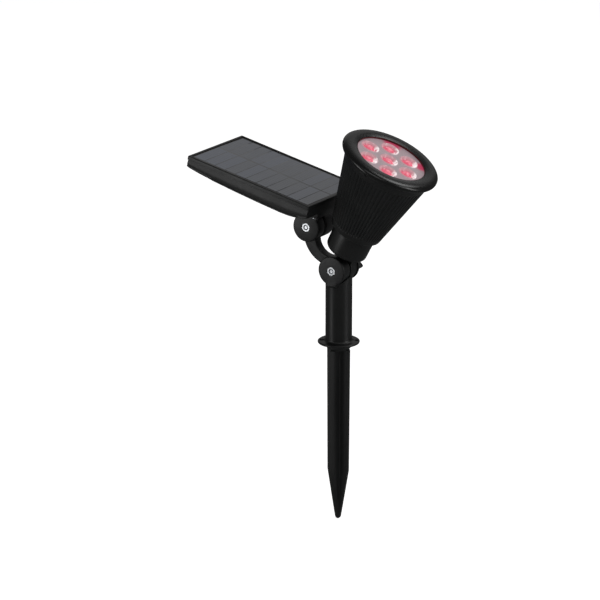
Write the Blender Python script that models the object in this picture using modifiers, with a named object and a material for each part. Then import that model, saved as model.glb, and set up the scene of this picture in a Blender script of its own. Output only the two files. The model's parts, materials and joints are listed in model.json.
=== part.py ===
"""Solar garden light: a ground spike, a post with a clevis, a ribbed lamp head and a solar panel
carried on a curved link. Metres, +Z up. The origin is on the post's axis at the ground line, which
is the underside of the post's flange."""

from math import acos, asin, atan2, cos, hypot, pi, radians, sin, sqrt

import bmesh
import bpy
from mathutils import Matrix, Vector

MM = 0.001
GAP = 0.3 * MM  # clearance kept between neighbouring parts
WELD = 0.00001

# Post and ground spike
POST_R = 11.75 * MM
POST_BORE_R = 9.0 * MM
POST_BORE_TOP = 45.0 * MM
FLANGE_R = 18.5 * MM
FLANGE_THICK = 2.1 * MM
FLANGE_FILLET = 2.0 * MM
FLANGE_SEAT_R = 11.4 * MM  # the flange rests on a wall outside this circle
FLANGE_RELIEF = 0.2 * MM
FLANGE_HOLE_PITCH_R = 15.0 * MM
FLANGE_HOLE_R = 1.7 * MM
FLANGE_SINK_R = 2.7 * MM
FLANGE_HOLE_AZIMUTH = radians(28)
COLLAR_R = 11.1 * MM
COLLAR_DEPTH = 5.4 * MM
PLUG_HEIGHT = 22.0 * MM
BLADE_REACH_TOP = 10.6 * MM
BLADE_REACH_SHOULDER = 9.9 * MM
BLADE_REACH_TIP = 1.75 * MM
BLADE_THICK = 5.2 * MM
BLADE_THICK_TIP = 2.6 * MM
BLADE_FILLET = 1.6 * MM
SHOULDER_DEPTH = 118.5 * MM
SPIKE_DEPTH = 164.7 * MM

# Knuckles: both turn about axes along Y
KNUCKLE_HEIGHT = 68.0 * MM
UPPER_FROM_LOWER = Vector((-25.7, 0.0, 35.9)) * MM
EAR_R = 13.1 * MM
EAR_OUTER_Y = 13.6 * MM
EAR_INNER_Y = 11.1 * MM
EAR_RIM_BEVEL = 1.0 * MM
REGISTER_R = 7.5 * MM  # round boss inside each front ear, which locates the link
REGISTER_DEPTH = 1.7 * MM
SADDLE_R = 13.0 * MM
GUSSET_HALF_WIDTH = 5.2 * MM
EYE_R = 12.4 * MM
LINK_Y = (-10.8 * MM, -1.5 * MM)
WASHER_Y = (-1.2 * MM, -0.3 * MM)
LUG_Y = (0.0, 10.8 * MM)
BARREL_Y = (0.0, 13.6 * MM)
BARREL_R = 12.9 * MM
BOLT_R = 2.0 * MM
BOLT_HOLE_R = 2.3 * MM
NUT_FLATS = 7.0 * MM
NUT_THICK = 2.7 * MM
POCKET_FLATS = 7.6 * MM
POCKET_DEPTH = 3.0 * MM
STEEL_WASHER_Y = (13.9 * MM, 14.7 * MM)
WING_Y = (15.0 * MM, 21.0 * MM)
WING_REACH = 13.0 * MM
WING_HALF_HEIGHT = 6.2 * MM

# Curved link: its outer and inner edges are arcs, given by centre (from the lower knuckle) and radius
LINK_OUTER = ((-1.6 * MM, 31.6 * MM), 28.4 * MM)
LINK_INNER = ((-2.65 * MM, 26.8 * MM), 14.6 * MM)

# Lamp head, along its own axis from the knuckle
LAMP_TILT = radians(26.8)
LAMP_AXIS_SHIFT = -1.4 * MM
CAP_BOTTOM = 17.6 * MM
CAP_TOP = 38.6 * MM
CAP_R_BOTTOM = 18.4 * MM
CAP_R_TOP = 18.9 * MM
CAP_FILLET = 3.0 * MM
CAP_WALL = 2.4 * MM
BASE_TUBE_R = (14.2 * MM, 16.1 * MM)
BASE_TUBE_TOP = 43.5 * MM
GASKET_R = (16.5 * MM, 18.6 * MM)
LUG_NECK_HALF = 8.5 * MM
CONE_BOTTOM = 39.9 * MM
CONE_TOP = 111.3 * MM
CONE_R_TOP = 39.96 * MM
CONE_SLOPE = 0.2412
CONE_WALL = 2.9 * MM
CONE_CHAMFER = 1.2 * MM
HOUSING_HOLE_R = 16.4 * MM
HOUSING_FLOOR = 2.4 * MM
FLUTE_COUNT = 60
FLUTE_DEPTH = 0.9 * MM
FLUTE_BOTTOM = 45.0 * MM
FLUTE_TOP = 105.6 * MM
FLUTE_SHARE = 0.5  # share of the pitch that a flute takes
SPIGOT_R = 36.4 * MM
SPIGOT_INNER_R = 34.7 * MM
SPIGOT_TOP = 114.2 * MM
HOLDER_SEAT_R = 33.0 * MM
BEZEL_OUTLINE = (
    (40.1, 111.5), (42.7, 111.9), (43.9, 113.0), (44.3, 114.5), (43.8, 115.7), (42.6, 116.9), (40.8, 117.6),
    (38.5, 117.9), (36.0, 117.9), (33.5, 117.5), (31.4, 116.9), (31.4, 116.3),
)
BEZEL_SEAT_R = 34.8 * MM
BEZEL_SEAT_Z = 116.3 * MM
BEZEL_SKIRT_R = 36.6 * MM
BEZEL_SKIRT_TOP = 114.5 * MM
SEAL_INNER_R = 31.6 * MM
SEAL_Z = (115.5 * MM, 116.0 * MM)
WINDOW_Z = (114.0 * MM, 115.2 * MM)
DISC_R = 34.5 * MM
HOLDER_Z = (111.4 * MM, 113.1 * MM)
HOLDER_SKIRT_Z = 101.5 * MM
HOLDER_SKIRT_R = (31.2 * MM, 32.7 * MM)
LENS_PITCH_R = 20.0 * MM
LENS_COUNT_ROUND = 6
LENS_FACETS = 14
LENS_TOP_R = 7.0 * MM
LENS_BOTTOM_R = 3.9 * MM
LENS_HOLLOW_R = 2.8 * MM  # the hollow over the chip
LENS_Z = (102.0 * MM, 113.7 * MM)
LENS_HOLE_R = 7.3 * MM
BOARD_Z = (99.5 * MM, 101.1 * MM)
BOARD_R = 32.6 * MM
LEDGE_Z = (96.6 * MM, 99.2 * MM)
LEDGE_R = 31.2 * MM
CHIP = Vector((3.5, 3.5, 1.9)) * MM
CHIP_Z = 101.4 * MM
CELL_R = 9.2 * MM
CELL_Z = (22.5 * MM, 87.5 * MM)
CRADLE_R = (9.6 * MM, 11.2 * MM)
CRADLE_Z = (20.3 * MM, 62.0 * MM)
CONTROL_Z = (90.0 * MM, 91.6 * MM)
CONTROL_R = 24.0 * MM

# Solar panel, in the frame of the upper knuckle: x along the panel, z out of its face
PANEL_TILT = radians(13.3)
PANEL_LENGTH = 126.7 * MM
PANEL_WIDTH = 87.8 * MM
PANEL_CENTRE_X = -48.9 * MM
PANEL_TOP = 32.5 * MM
RIM_WIDTH = 2.7 * MM
RIM_BOTTOM = 28.9 * MM
TRAY_TOP = 28.6 * MM
TRAY_INSET = 0.6 * MM
TRAY_WALL = 2.2 * MM
TRAY_LEDGE = 6.0 * MM
TRAY_LEDGE_BOTTOM = 26.6 * MM
# depth of the underside below the face, at distances from the panel's middle
BELLY = (
    (-63.35, 9.7), (-60.0, 10.8), (-50.0, 12.0), (-35.0, 13.2), (-10.0, 14.4), (15.0, 15.2),
    (36.0, 15.6), (45.0, 15.3), (54.0, 14.1), (60.0, 12.7), (63.35, 11.5),
)
GASKET_Z = (28.9 * MM, 29.6 * MM)
PV_Z = (29.9 * MM, 32.0 * MM)
COVER_X = (-46.0 * MM, 41.5 * MM)  # from the panel's middle
COVER_THICK = 1.6 * MM
COVER_INSET_Y = 1.0 * MM
BRACKET_X = (-13.0 * MM, 12.4 * MM)
BRACKET_HALF_Y = 20.0 * MM
BRACKET_BOTTOM = 14.2 * MM
BRACKET_NECK_HALF = 9.0 * MM
BUTTON_X = -62.0 * MM
BUTTON_R = 4.6 * MM
BUTTON_STEM_R = 2.0 * MM
BUTTON_TRAVEL = 1.2 * MM
CHARGE_BOARD = Vector((46.0, 30.0, 1.6)) * MM
CHARGE_BOARD_Z = 25.0 * MM

# part colours: (red, green, blue), roughness, metallic
FINISHES = {
    "black_abs": ((0.018, 0.018, 0.019), 0.42, 0.0),
    "black_pp": ((0.020, 0.020, 0.020), 0.48, 0.0),
    "zinc_steel": ((0.62, 0.63, 0.65), 0.28, 1.0),
    "clear_pc": ((0.92, 0.93, 0.95), 0.06, 0.0),
    "white_abs": ((0.78, 0.78, 0.77), 0.45, 0.0),
    "red_silicone": ((0.55, 0.02, 0.04), 0.5, 0.0),
    "black_rubber": ((0.015, 0.015, 0.015), 0.75, 0.0),
    "cell_laminate": ((0.035, 0.045, 0.065), 0.12, 0.0),
    "circuit_green": ((0.02, 0.16, 0.07), 0.4, 0.0),
    "white_solder_mask": ((0.80, 0.80, 0.78), 0.35, 0.0),
    "led_red": ((0.85, 0.08, 0.12), 0.25, 0.0),
    "cell_wrap": ((0.05, 0.22, 0.45), 0.35, 0.0),
}


def clear_scene():
    for item in list(bpy.data.objects):
        bpy.data.objects.remove(item, do_unlink=True)


def make_collection(name):
    collection = bpy.data.collections.new(name)
    bpy.context.scene.collection.children.link(collection)
    return collection


def make_materials():
    made = {}
    for name, (colour, roughness, metallic) in FINISHES.items():
        material = bpy.data.materials.new(name)
        material.use_nodes = True
        shader = material.node_tree.nodes["Principled BSDF"]
        shader.inputs["Base Color"].default_value = (*colour, 1.0)
        shader.inputs["Roughness"].default_value = roughness
        shader.inputs["Metallic"].default_value = metallic
        made[name] = material
    return made


clear_scene()
PARTS = make_collection("solar_garden_light")
CUTTERS = make_collection("cutters")
MATERIALS = make_materials()


def empty(name, location, tilt=0.0, parent=None):
    """An empty on a joint's axis, turned by tilt about Y."""
    pivot = bpy.data.objects.new(name, None)
    pivot.empty_display_size = 0.02
    pivot.location = location
    pivot.rotation_euler = (0.0, tilt, 0.0)
    pivot.parent = parent
    PARTS.objects.link(pivot)
    return pivot


def place(name, mesh, parent=None, finish=None):
    """A part when it has a finish, and a hidden cutter when it has none."""
    item = bpy.data.objects.new(name, mesh)
    item.parent = parent
    if finish:
        mesh.materials.append(MATERIALS[finish])
        PARTS.objects.link(item)
    else:
        item.hide_render = True
        item.display_type = "WIRE"
        CUTTERS.objects.link(item)
    return item


def to_mesh(name, form):
    bmesh.ops.recalc_face_normals(form, faces=form.faces)
    mesh = bpy.data.meshes.new(name)
    form.to_mesh(mesh)
    form.free()
    return mesh


def smooth(item, angle=35):
    item.data.shade_smooth()
    item.data.set_sharp_from_angle(angle=radians(angle))


def box(name, low, high, parent=None, finish=None, bevel=0.0):
    form = bmesh.new()
    bmesh.ops.create_cube(form, size=1.0)
    size = Vector(high) - Vector(low)
    middle = (Vector(high) + Vector(low)) / 2
    spread = Matrix.Translation(middle) @ Matrix.Diagonal((*size, 1.0))
    bmesh.ops.transform(form, matrix=spread, verts=form.verts)
    if bevel:
        bmesh.ops.bevel(form, geom=form.edges[:], offset=bevel, segments=1, profile=0.5, affect="EDGES")
    return place(name, to_mesh(name, form), parent, finish)


def rod(name, radius, ends, axis="Z", at=(0.0, 0.0), segments=32, turn=0.0, parent=None, finish=None,
        end_radius=None, bevel=0.0):
    """A cylinder or cone between two stations on its axis. at is its place across the axis."""
    form = bmesh.new()
    bmesh.ops.create_cone(form, cap_ends=True, segments=segments, radius1=radius,
                          radius2=radius if end_radius is None else end_radius, depth=ends[1] - ends[0])
    bmesh.ops.rotate(form, verts=form.verts, matrix=Matrix.Rotation(turn, 3, "Z"))
    middle = (ends[0] + ends[1]) / 2
    if axis == "Y":
        bmesh.ops.rotate(form, verts=form.verts, matrix=Matrix.Rotation(-pi / 2, 3, "X"))
        bmesh.ops.translate(form, verts=form.verts, vec=(at[0], middle, at[1]))
    else:
        bmesh.ops.translate(form, verts=form.verts, vec=(at[0], at[1], middle))
    if bevel:
        rims = [edge for edge in form.edges if any(len(face.verts) > 4 for face in edge.link_faces)]
        bmesh.ops.bevel(form, geom=rims, offset=bevel, segments=1, profile=0.5, affect="EDGES")
    return place(name, to_mesh(name, form), parent, finish)


def arc(centre, radius, start, end, steps):
    """Points on an arc, both ends included, in radians from +X."""
    angles = [start + (end - start) * step / steps for step in range(steps + 1)]
    return [(centre[0] + radius * cos(angle), centre[1] + radius * sin(angle)) for angle in angles]


def slab(name, outline, y_range, parent=None, finish=None, bevel=0.0):
    """A flat outline in X and Z, given thickness along Y."""
    form = bmesh.new()
    face = form.faces.new([form.verts.new((x, y_range[0], z)) for x, z in outline])
    pushed = bmesh.ops.extrude_face_region(form, geom=[face])
    moved = [part for part in pushed["geom"] if isinstance(part, bmesh.types.BMVert)]
    bmesh.ops.translate(form, verts=moved, vec=(0.0, y_range[1] - y_range[0], 0.0))
    if bevel:
        rims = [edge for edge in form.edges if any(len(face.verts) > 4 for face in edge.link_faces)]
        bmesh.ops.bevel(form, geom=rims, offset=bevel, segments=1, profile=0.5, affect="EDGES")
    return place(name, to_mesh(name, form), parent, finish)


def turn_round(item, segments):
    screw = item.modifiers.new("turn", "SCREW")
    screw.steps = segments
    screw.render_steps = segments
    screw.use_merge_vertices = True
    screw.merge_threshold = WELD


def turned(name, profile, segments=48, parent=None, finish=None, closed=False):
    """A profile of (radius, height) points, top to bottom on its outer side, turned about Z."""
    form = bmesh.new()
    points = [form.verts.new((radius, 0.0, height)) for radius, height in profile]
    for first, second in zip(points, points[1:]):
        form.edges.new((first, second))
    if closed:
        form.edges.new((points[-1], points[0]))
    mesh = bpy.data.meshes.new(name)
    form.to_mesh(mesh)
    form.free()
    item = place(name, mesh, parent, finish)
    turn_round(item, segments)
    return item


def boolean(item, other, operation):
    step = item.modifiers.new(operation.lower(), "BOOLEAN")
    step.operation = operation
    step.object = other
    step.solver = "EXACT"


def cut(item, *others):
    for other in others:
        boolean(item, other, "DIFFERENCE")


def join(item, *others):
    for other in others:
        boolean(item, other, "UNION")


def copy_of(item, name, move=(0.0, 0.0, 0.0), turn=0.0):
    """Another part on the same mesh, moved, or turned about Z."""
    twin = bpy.data.objects.new(name, item.data)
    twin.parent = item.parent
    twin.location = move
    twin.rotation_euler = (0.0, 0.0, turn)
    PARTS.objects.link(twin)
    return twin


def crossings(first, second):
    """The two points where two circles, each (centre, radius), meet."""
    (ax, az), ra = first
    (bx, bz), rb = second
    apart = hypot(bx - ax, bz - az)
    along = (ra * ra - rb * rb + apart * apart) / (2 * apart)
    aside = sqrt(ra * ra - along * along)
    ux, uz = (bx - ax) / apart, (bz - az) / apart
    return [(ax + along * ux - side * aside * uz, az + along * uz + side * aside * ux) for side in (1, -1)]


def bearing(centre, point):
    return atan2(point[1] - centre[1], point[0] - centre[0])


def hexagon(name, flats, y_range, parent, finish=None, at=(0.0, 0.0)):
    return rod(name, flats / sqrt(3), y_range, axis="Y", at=at, segments=6, turn=pi / 2, parent=parent,
               finish=finish)


def ear_outline(radius, neck_half, neck_end, steps=28):
    """A round ear with a neck going up to neck_end."""
    turn_in = acos(neck_half / radius)
    round_part = arc((0.0, 0.0), radius, turn_in, -pi - turn_in, steps)
    return round_part + [(-neck_half, neck_end), (neck_half, neck_end)]


# Ground spike


def blade_section(reach, thick, fillet):
    """A cross of four blades, with its inner corners rounded."""
    half = thick / 2
    corner = min(fillet, (reach - half) * 0.6)
    points = []
    for quarter in range(4):
        turn = quarter * pi / 2
        local = [(reach, -half), (reach, half)]
        local += [(half + corner - corner * sin(step * pi / 8), half + corner - corner * cos(step * pi / 8))
                  for step in range(5)]
        points += [(x * cos(turn) - y * sin(turn), x * sin(turn) + y * cos(turn)) for x, y in local]
    return points


def ground_spike():
    stations = (
        (-COLLAR_DEPTH + 0.6 * MM, BLADE_REACH_TOP, BLADE_THICK),
        (-SHOULDER_DEPTH, BLADE_REACH_SHOULDER, BLADE_THICK),
        (-SPIKE_DEPTH + 6 * MM, BLADE_REACH_TIP + 1.25 * MM, BLADE_THICK_TIP + 0.5 * MM),
        (-SPIKE_DEPTH + 1.2 * MM, BLADE_REACH_TIP, BLADE_THICK_TIP),
        (-SPIKE_DEPTH, BLADE_REACH_TIP * 0.55, BLADE_THICK_TIP * 0.5),
    )
    form = bmesh.new()
    rings = []
    for height, reach, thick in stations:
        section = blade_section(reach, thick, BLADE_FILLET)
        rings.append([form.verts.new((x, y, height)) for x, y in section])
    for upper, lower in zip(rings, rings[1:]):
        for index in range(len(upper)):
            after = (index + 1) % len(upper)
            form.faces.new((upper[index], lower[index], lower[after], upper[after]))
    form.faces.new(rings[0])
    form.faces.new(rings[-1][::-1])
    spike = place("ground_spike", to_mesh("ground_spike", form), None, "black_pp")
    plug_r = POST_BORE_R - GAP
    collar = turned("spike_collar", (
        (0.0, PLUG_HEIGHT), (plug_r - 1.2 * MM, PLUG_HEIGHT), (plug_r, PLUG_HEIGHT - 1.2 * MM),
        (plug_r, -GAP), (COLLAR_R, -GAP), (COLLAR_R, -COLLAR_DEPTH + 0.8 * MM),
        (BLADE_REACH_TOP + 0.05 * MM, -COLLAR_DEPTH), (0.0, -COLLAR_DEPTH)), segments=48)
    join(spike, collar)
    smooth(spike)
    return spike


# Post with its flange and clevis


def knuckle_gusset(side, parent):
    """The wedge that carries an ear down onto the post."""
    outer, inner, root = side * EAR_OUTER_Y, side * EAR_INNER_Y, side * 7.0 * MM
    top, step, foot = -8.0 * MM, -SADDLE_R - 0.2 * MM, -SADDLE_R - 3.0 * MM
    form = bmesh.new()
    outline = [(outer, top), (outer, step), (inner, foot), (root, foot), (root, top)]
    face = form.faces.new([form.verts.new((-GUSSET_HALF_WIDTH, y, z)) for y, z in outline])
    pushed = bmesh.ops.extrude_face_region(form, geom=[face])
    moved = [part for part in pushed["geom"] if isinstance(part, bmesh.types.BMVert)]
    bmesh.ops.translate(form, verts=moved, vec=(2 * GUSSET_HALF_WIDTH, 0.0, 0.0))
    return place("ear_gusset", to_mesh("ear_gusset", form), parent)


def front_ear_parts(parent, neck):
    """The front ear's round plate and its locating boss."""
    plate_y = (-EAR_OUTER_Y, -EAR_INNER_Y)
    if neck:
        outline = ear_outline(EAR_R, BRACKET_NECK_HALF, BRACKET_BOTTOM + 1.5 * MM)
        plate = slab("front_ear", outline, plate_y, parent)
    else:
        plate = rod("front_ear", EAR_R, plate_y, axis="Y", segments=48, parent=parent, bevel=EAR_RIM_BEVEL)
    boss = rod("front_boss", REGISTER_R, (-EAR_INNER_Y - 0.5 * MM, -EAR_INNER_Y + REGISTER_DEPTH), axis="Y",
               segments=24, parent=parent)
    return plate, boss


def bolt_cutters(parent):
    hole = rod("bolt_hole", BOLT_HOLE_R, (-16 * MM, 16 * MM), axis="Y", segments=16, parent=parent)
    pocket = hexagon("nut_pocket", POCKET_FLATS, (-EAR_OUTER_Y - 1 * MM, -EAR_OUTER_Y + POCKET_DEPTH), parent)
    return hole, pocket


def post(pivot):
    rim = FLANGE_THICK
    fillet = arc((POST_R + FLANGE_FILLET, rim + FLANGE_FILLET), FLANGE_FILLET, pi, 1.5 * pi, 3)
    body = turned("post", (
        (0.0, KNUCKLE_HEIGHT - 6 * MM), (POST_R, KNUCKLE_HEIGHT - 6 * MM), *fillet,
        (FLANGE_R - 0.5 * MM, rim), (FLANGE_R, rim - 0.5 * MM), (FLANGE_R, 0.4 * MM),
        (FLANGE_R - 0.4 * MM, 0.0), (FLANGE_SEAT_R, 0.0), (FLANGE_SEAT_R - FLANGE_RELIEF, FLANGE_RELIEF),
        (POST_BORE_R, FLANGE_RELIEF), (POST_BORE_R, PLUG_HEIGHT + 2 * MM),
        (POST_BORE_R - 0.8 * MM, PLUG_HEIGHT + 2.8 * MM),
        (POST_BORE_R - 0.8 * MM, POST_BORE_TOP), (0.0, POST_BORE_TOP)), segments=40, finish="black_abs")
    saddle = rod("saddle", SADDLE_R, (-EAR_INNER_Y, EAR_INNER_Y), axis="Y", segments=48, parent=pivot)
    join(body, knuckle_gusset(-1, pivot), knuckle_gusset(1, pivot))
    cut(body, saddle)
    plate, boss = front_ear_parts(pivot, neck=False)
    rear = rod("rear_ear", EAR_R, (EAR_INNER_Y, EAR_OUTER_Y), axis="Y", segments=36, parent=pivot,
               bevel=EAR_RIM_BEVEL)
    join(body, plate, boss, rear)
    cut(body, *bolt_cutters(pivot))
    for turn in (0.0, pi):
        azimuth = FLANGE_HOLE_AZIMUTH + turn
        at = (FLANGE_HOLE_PITCH_R * cos(azimuth), FLANGE_HOLE_PITCH_R * sin(azimuth))
        hole = rod("flange_hole", FLANGE_HOLE_R, (-1 * MM, 4 * MM), at=at, segments=12)
        sink = rod("flange_sink", FLANGE_HOLE_R, (1.1 * MM, rim + 0.2 * MM), at=at, segments=12,
                   end_radius=FLANGE_SINK_R + 0.2 * MM)
        cut(body, hole, sink)
    smooth(body)
    return body


# Clamp bolts, nuts and washers of one knuckle


def wing_outline(turn):
    """Two arcs that meet in a point at each end."""
    radius = (WING_REACH ** 2 + WING_HALF_HEIGHT ** 2) / (2 * WING_HALF_HEIGHT)
    spread = asin(WING_REACH / radius)
    drop = radius - WING_HALF_HEIGHT
    upper = arc((0.0, -drop), radius, pi / 2 - spread, pi / 2 + spread, 10)
    lower = arc((0.0, drop), radius, -pi / 2 - spread, -pi / 2 + spread, 10)
    points = upper[:-1] + lower[:-1]
    return [(x * cos(turn) - z * sin(turn), x * sin(turn) + z * cos(turn)) for x, z in points]


def clamp_set(prefix, pivot, wing_turn):
    bolt = rod(prefix + "_clamp_bolt", BOLT_R, (-EAR_OUTER_Y + 0.3 * MM, WING_Y[1] - 2.0 * MM), axis="Y",
               segments=16, parent=pivot, finish="zinc_steel")
    nut_y = (-EAR_OUTER_Y, -EAR_OUTER_Y + NUT_THICK)
    nut = hexagon(prefix + "_hex_nut", NUT_FLATS, nut_y, pivot, "zinc_steel")
    cut(nut, rod("nut_bore", BOLT_R + GAP, (-20 * MM, -5 * MM), axis="Y", segments=16, parent=pivot))
    washer = rod(prefix + "_plain_washer", 5.0 * MM, STEEL_WASHER_Y, axis="Y", segments=32, parent=pivot,
                 finish="zinc_steel")
    cut(washer, rod("washer_bore", BOLT_R + GAP, (12 * MM, 16 * MM), axis="Y", segments=16, parent=pivot))
    wing = slab(prefix + "_wing_head", wing_outline(wing_turn), WING_Y, pivot, "black_abs", bevel=0.8 * MM)
    cut(wing, rod("wing_bore", BOLT_R + GAP, (WING_Y[0] - 1 * MM, WING_Y[1] - 1.7 * MM), axis="Y",
                  segments=16, parent=pivot))
    friction = rod(prefix + "_friction_washer", 9.0 * MM, WASHER_Y, axis="Y", segments=32, parent=pivot,
                   finish="black_rubber")
    cut(friction, rod("friction_bore", BOLT_HOLE_R, (-3 * MM, 2 * MM), axis="Y", segments=16, parent=pivot))
    for item in (bolt, nut, washer, wing, friction):
        smooth(item)


# Curved link


def pivot_link(pivot):
    lower = ((0.0, 0.0), EYE_R)
    upper = ((UPPER_FROM_LOWER.x, UPPER_FROM_LOWER.z), EYE_R)
    outer_top = min(crossings(upper, LINK_OUTER), key=lambda point: point[1])
    outer_foot = min(crossings(lower, LINK_OUTER), key=lambda point: point[0])
    inner_foot = min(crossings(lower, LINK_INNER), key=lambda point: point[0])
    inner_top = min(crossings(upper, LINK_INNER), key=lambda point: point[1])
    outline = arc(LINK_OUTER[0], LINK_OUTER[1], bearing(LINK_OUTER[0], outer_top) % (2 * pi),
                  bearing(LINK_OUTER[0], outer_foot) % (2 * pi), 10)[:-1]
    outline += arc((0.0, 0.0), EYE_R, bearing((0.0, 0.0), outer_foot), bearing((0.0, 0.0), inner_foot) + 2 * pi,
                   20)[:-1]
    outline += arc(LINK_INNER[0], LINK_INNER[1], bearing(LINK_INNER[0], inner_foot) % (2 * pi),
                   bearing(LINK_INNER[0], inner_top) % (2 * pi), 8)[:-1]
    outline += arc(upper[0], EYE_R, bearing(upper[0], inner_top),
                   bearing(upper[0], outer_top) % (2 * pi), 20)[:-1]
    link = slab("pivot_link", outline, LINK_Y, pivot, "black_abs", bevel=0.7 * MM)
    for eye in (lower[0], upper[0]):
        hole = rod("link_hole", BOLT_HOLE_R, (-14 * MM, 2 * MM), axis="Y", at=eye, segments=24, parent=pivot)
        recess_y = (-14 * MM, -EAR_INNER_Y + REGISTER_DEPTH + GAP)
        recess = rod("link_recess", REGISTER_R + 0.4 * MM, recess_y, axis="Y",
                     at=eye, segments=24, parent=pivot)
        cut(link, hole, recess)
    smooth(link)
    return link


# Lamp head


def crest(height):
    """The ribbed cone's outer radius at a height on its axis."""
    return CONE_R_TOP + CONE_SLOPE * (height - CONE_TOP)


def lamp_base(pivot, axis):
    fillet = arc((CAP_R_BOTTOM - CAP_FILLET, CAP_BOTTOM + CAP_FILLET), CAP_FILLET, 0.0, -pi / 2, 5)
    tube, tube_top = BASE_TUBE_R, BASE_TUBE_TOP
    base = turned("lamp_base", (
        (CAP_R_TOP, CAP_TOP), *fillet, (0.0, CAP_BOTTOM), (0.0, CAP_BOTTOM + CAP_WALL),
        (tube[0] - 0.2 * MM, CAP_BOTTOM + CAP_WALL), (tube[0], CAP_BOTTOM + CAP_WALL + 2 * MM),
        (tube[0], tube_top), (tube[1], tube_top), (tube[1], CAP_TOP), (CAP_R_TOP, CAP_TOP)),
        segments=40, parent=axis, finish="black_abs")
    lug = slab("lamp_lug", ear_outline(EYE_R, LUG_NECK_HALF, CAP_BOTTOM + 1.2 * MM), LUG_Y, pivot)
    join(base, lug)
    cut(base, rod("lug_hole", BOLT_HOLE_R, (-2 * MM, 12 * MM), axis="Y", segments=16, parent=pivot))
    smooth(base)
    gasket = turned("base_gasket", (
        (GASKET_R[1], CONE_BOTTOM - GAP), (GASKET_R[1], CAP_TOP + GAP), (GASKET_R[0], CAP_TOP + GAP),
        (GASKET_R[0], CONE_BOTTOM - GAP)), segments=48, parent=axis, finish="black_rubber", closed=True)
    smooth(gasket)


def flute_cutter(axis):
    """One tapered groove, repeated round the cone by an Array on a turned empty."""
    step = 2 * pi / FLUTE_COUNT
    form = bmesh.new()
    rings = []
    for height in (FLUTE_BOTTOM, FLUTE_TOP):
        radius = crest(height)
        half = radius * step * FLUTE_SHARE / 2
        corners = ((radius - FLUTE_DEPTH, 0.0), (radius + 1 * MM, -half * 2.1), (radius + 1 * MM, half * 2.1))
        rings.append([form.verts.new((x, y, height)) for x, y in corners])
    lower, upper = rings
    for index in range(3):
        after = (index + 1) % 3
        form.faces.new((lower[index], lower[after], upper[after], upper[index]))
    form.faces.new(lower[::-1])
    form.faces.new(upper)
    cutter = place("flutes", to_mesh("flutes", form), axis)
    turner = empty("flute_step", (0.0, 0.0, 0.0), parent=axis)
    turner.rotation_euler = (0.0, 0.0, step)
    array = cutter.modifiers.new("round", "ARRAY")
    array.count = FLUTE_COUNT
    array.use_relative_offset = False
    array.use_object_offset = True
    array.offset_object = turner
    return cutter


def lamp_housing(axis):
    floor = CONE_BOTTOM + HOUSING_FLOOR
    housing = turned("lamp_housing", (
        (SPIGOT_INNER_R, SPIGOT_TOP), (SPIGOT_R, SPIGOT_TOP), (SPIGOT_R, CONE_TOP), (CONE_R_TOP, CONE_TOP),
        (crest(CONE_BOTTOM + CONE_CHAMFER), CONE_BOTTOM + CONE_CHAMFER),
        (crest(CONE_BOTTOM) - CONE_CHAMFER, CONE_BOTTOM), (HOUSING_HOLE_R, CONE_BOTTOM),
        (HOUSING_HOLE_R, floor), (crest(floor) - CONE_WALL, floor), (crest(LEDGE_Z[0]) - CONE_WALL, LEDGE_Z[0]),
        (LEDGE_R, LEDGE_Z[0] + 0.6 * MM), (LEDGE_R, LEDGE_Z[1]), (HOLDER_SEAT_R, LEDGE_Z[1]),
        (HOLDER_SEAT_R, CONE_TOP), (SPIGOT_INNER_R, CONE_TOP)),
        segments=FLUTE_COUNT, parent=axis, finish="black_abs", closed=True)
    cut(housing, flute_cutter(axis))
    smooth(housing, 25)
    return housing


def lamp_front(axis):
    outline = [(radius * MM, height * MM) for radius, height in BEZEL_OUTLINE][::-1]
    bezel = turned("lamp_bezel", (
        *outline, (BEZEL_SKIRT_R, BEZEL_OUTLINE[0][1] * MM), (BEZEL_SKIRT_R, BEZEL_SKIRT_TOP),
        (BEZEL_SEAT_R, BEZEL_SKIRT_TOP), (BEZEL_SEAT_R, BEZEL_SEAT_Z)),
        segments=48, parent=axis, finish="black_abs", closed=True)
    seal = turned("window_seal", ((DISC_R, SEAL_Z[1]), (DISC_R, SEAL_Z[0]), (SEAL_INNER_R, SEAL_Z[0]),
                                  (SEAL_INNER_R, SEAL_Z[1])), segments=48, parent=axis, finish="red_silicone",
                  closed=True)
    window = rod("front_window", DISC_R, WINDOW_Z, segments=48, parent=axis, finish="clear_pc")
    for item in (bezel, seal, window):
        smooth(item)


def lens_places():
    ring = [(LENS_PITCH_R * cos(index * pi / 3), LENS_PITCH_R * sin(index * pi / 3))
            for index in range(LENS_COUNT_ROUND)]
    return [(0.0, 0.0)] + ring


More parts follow.
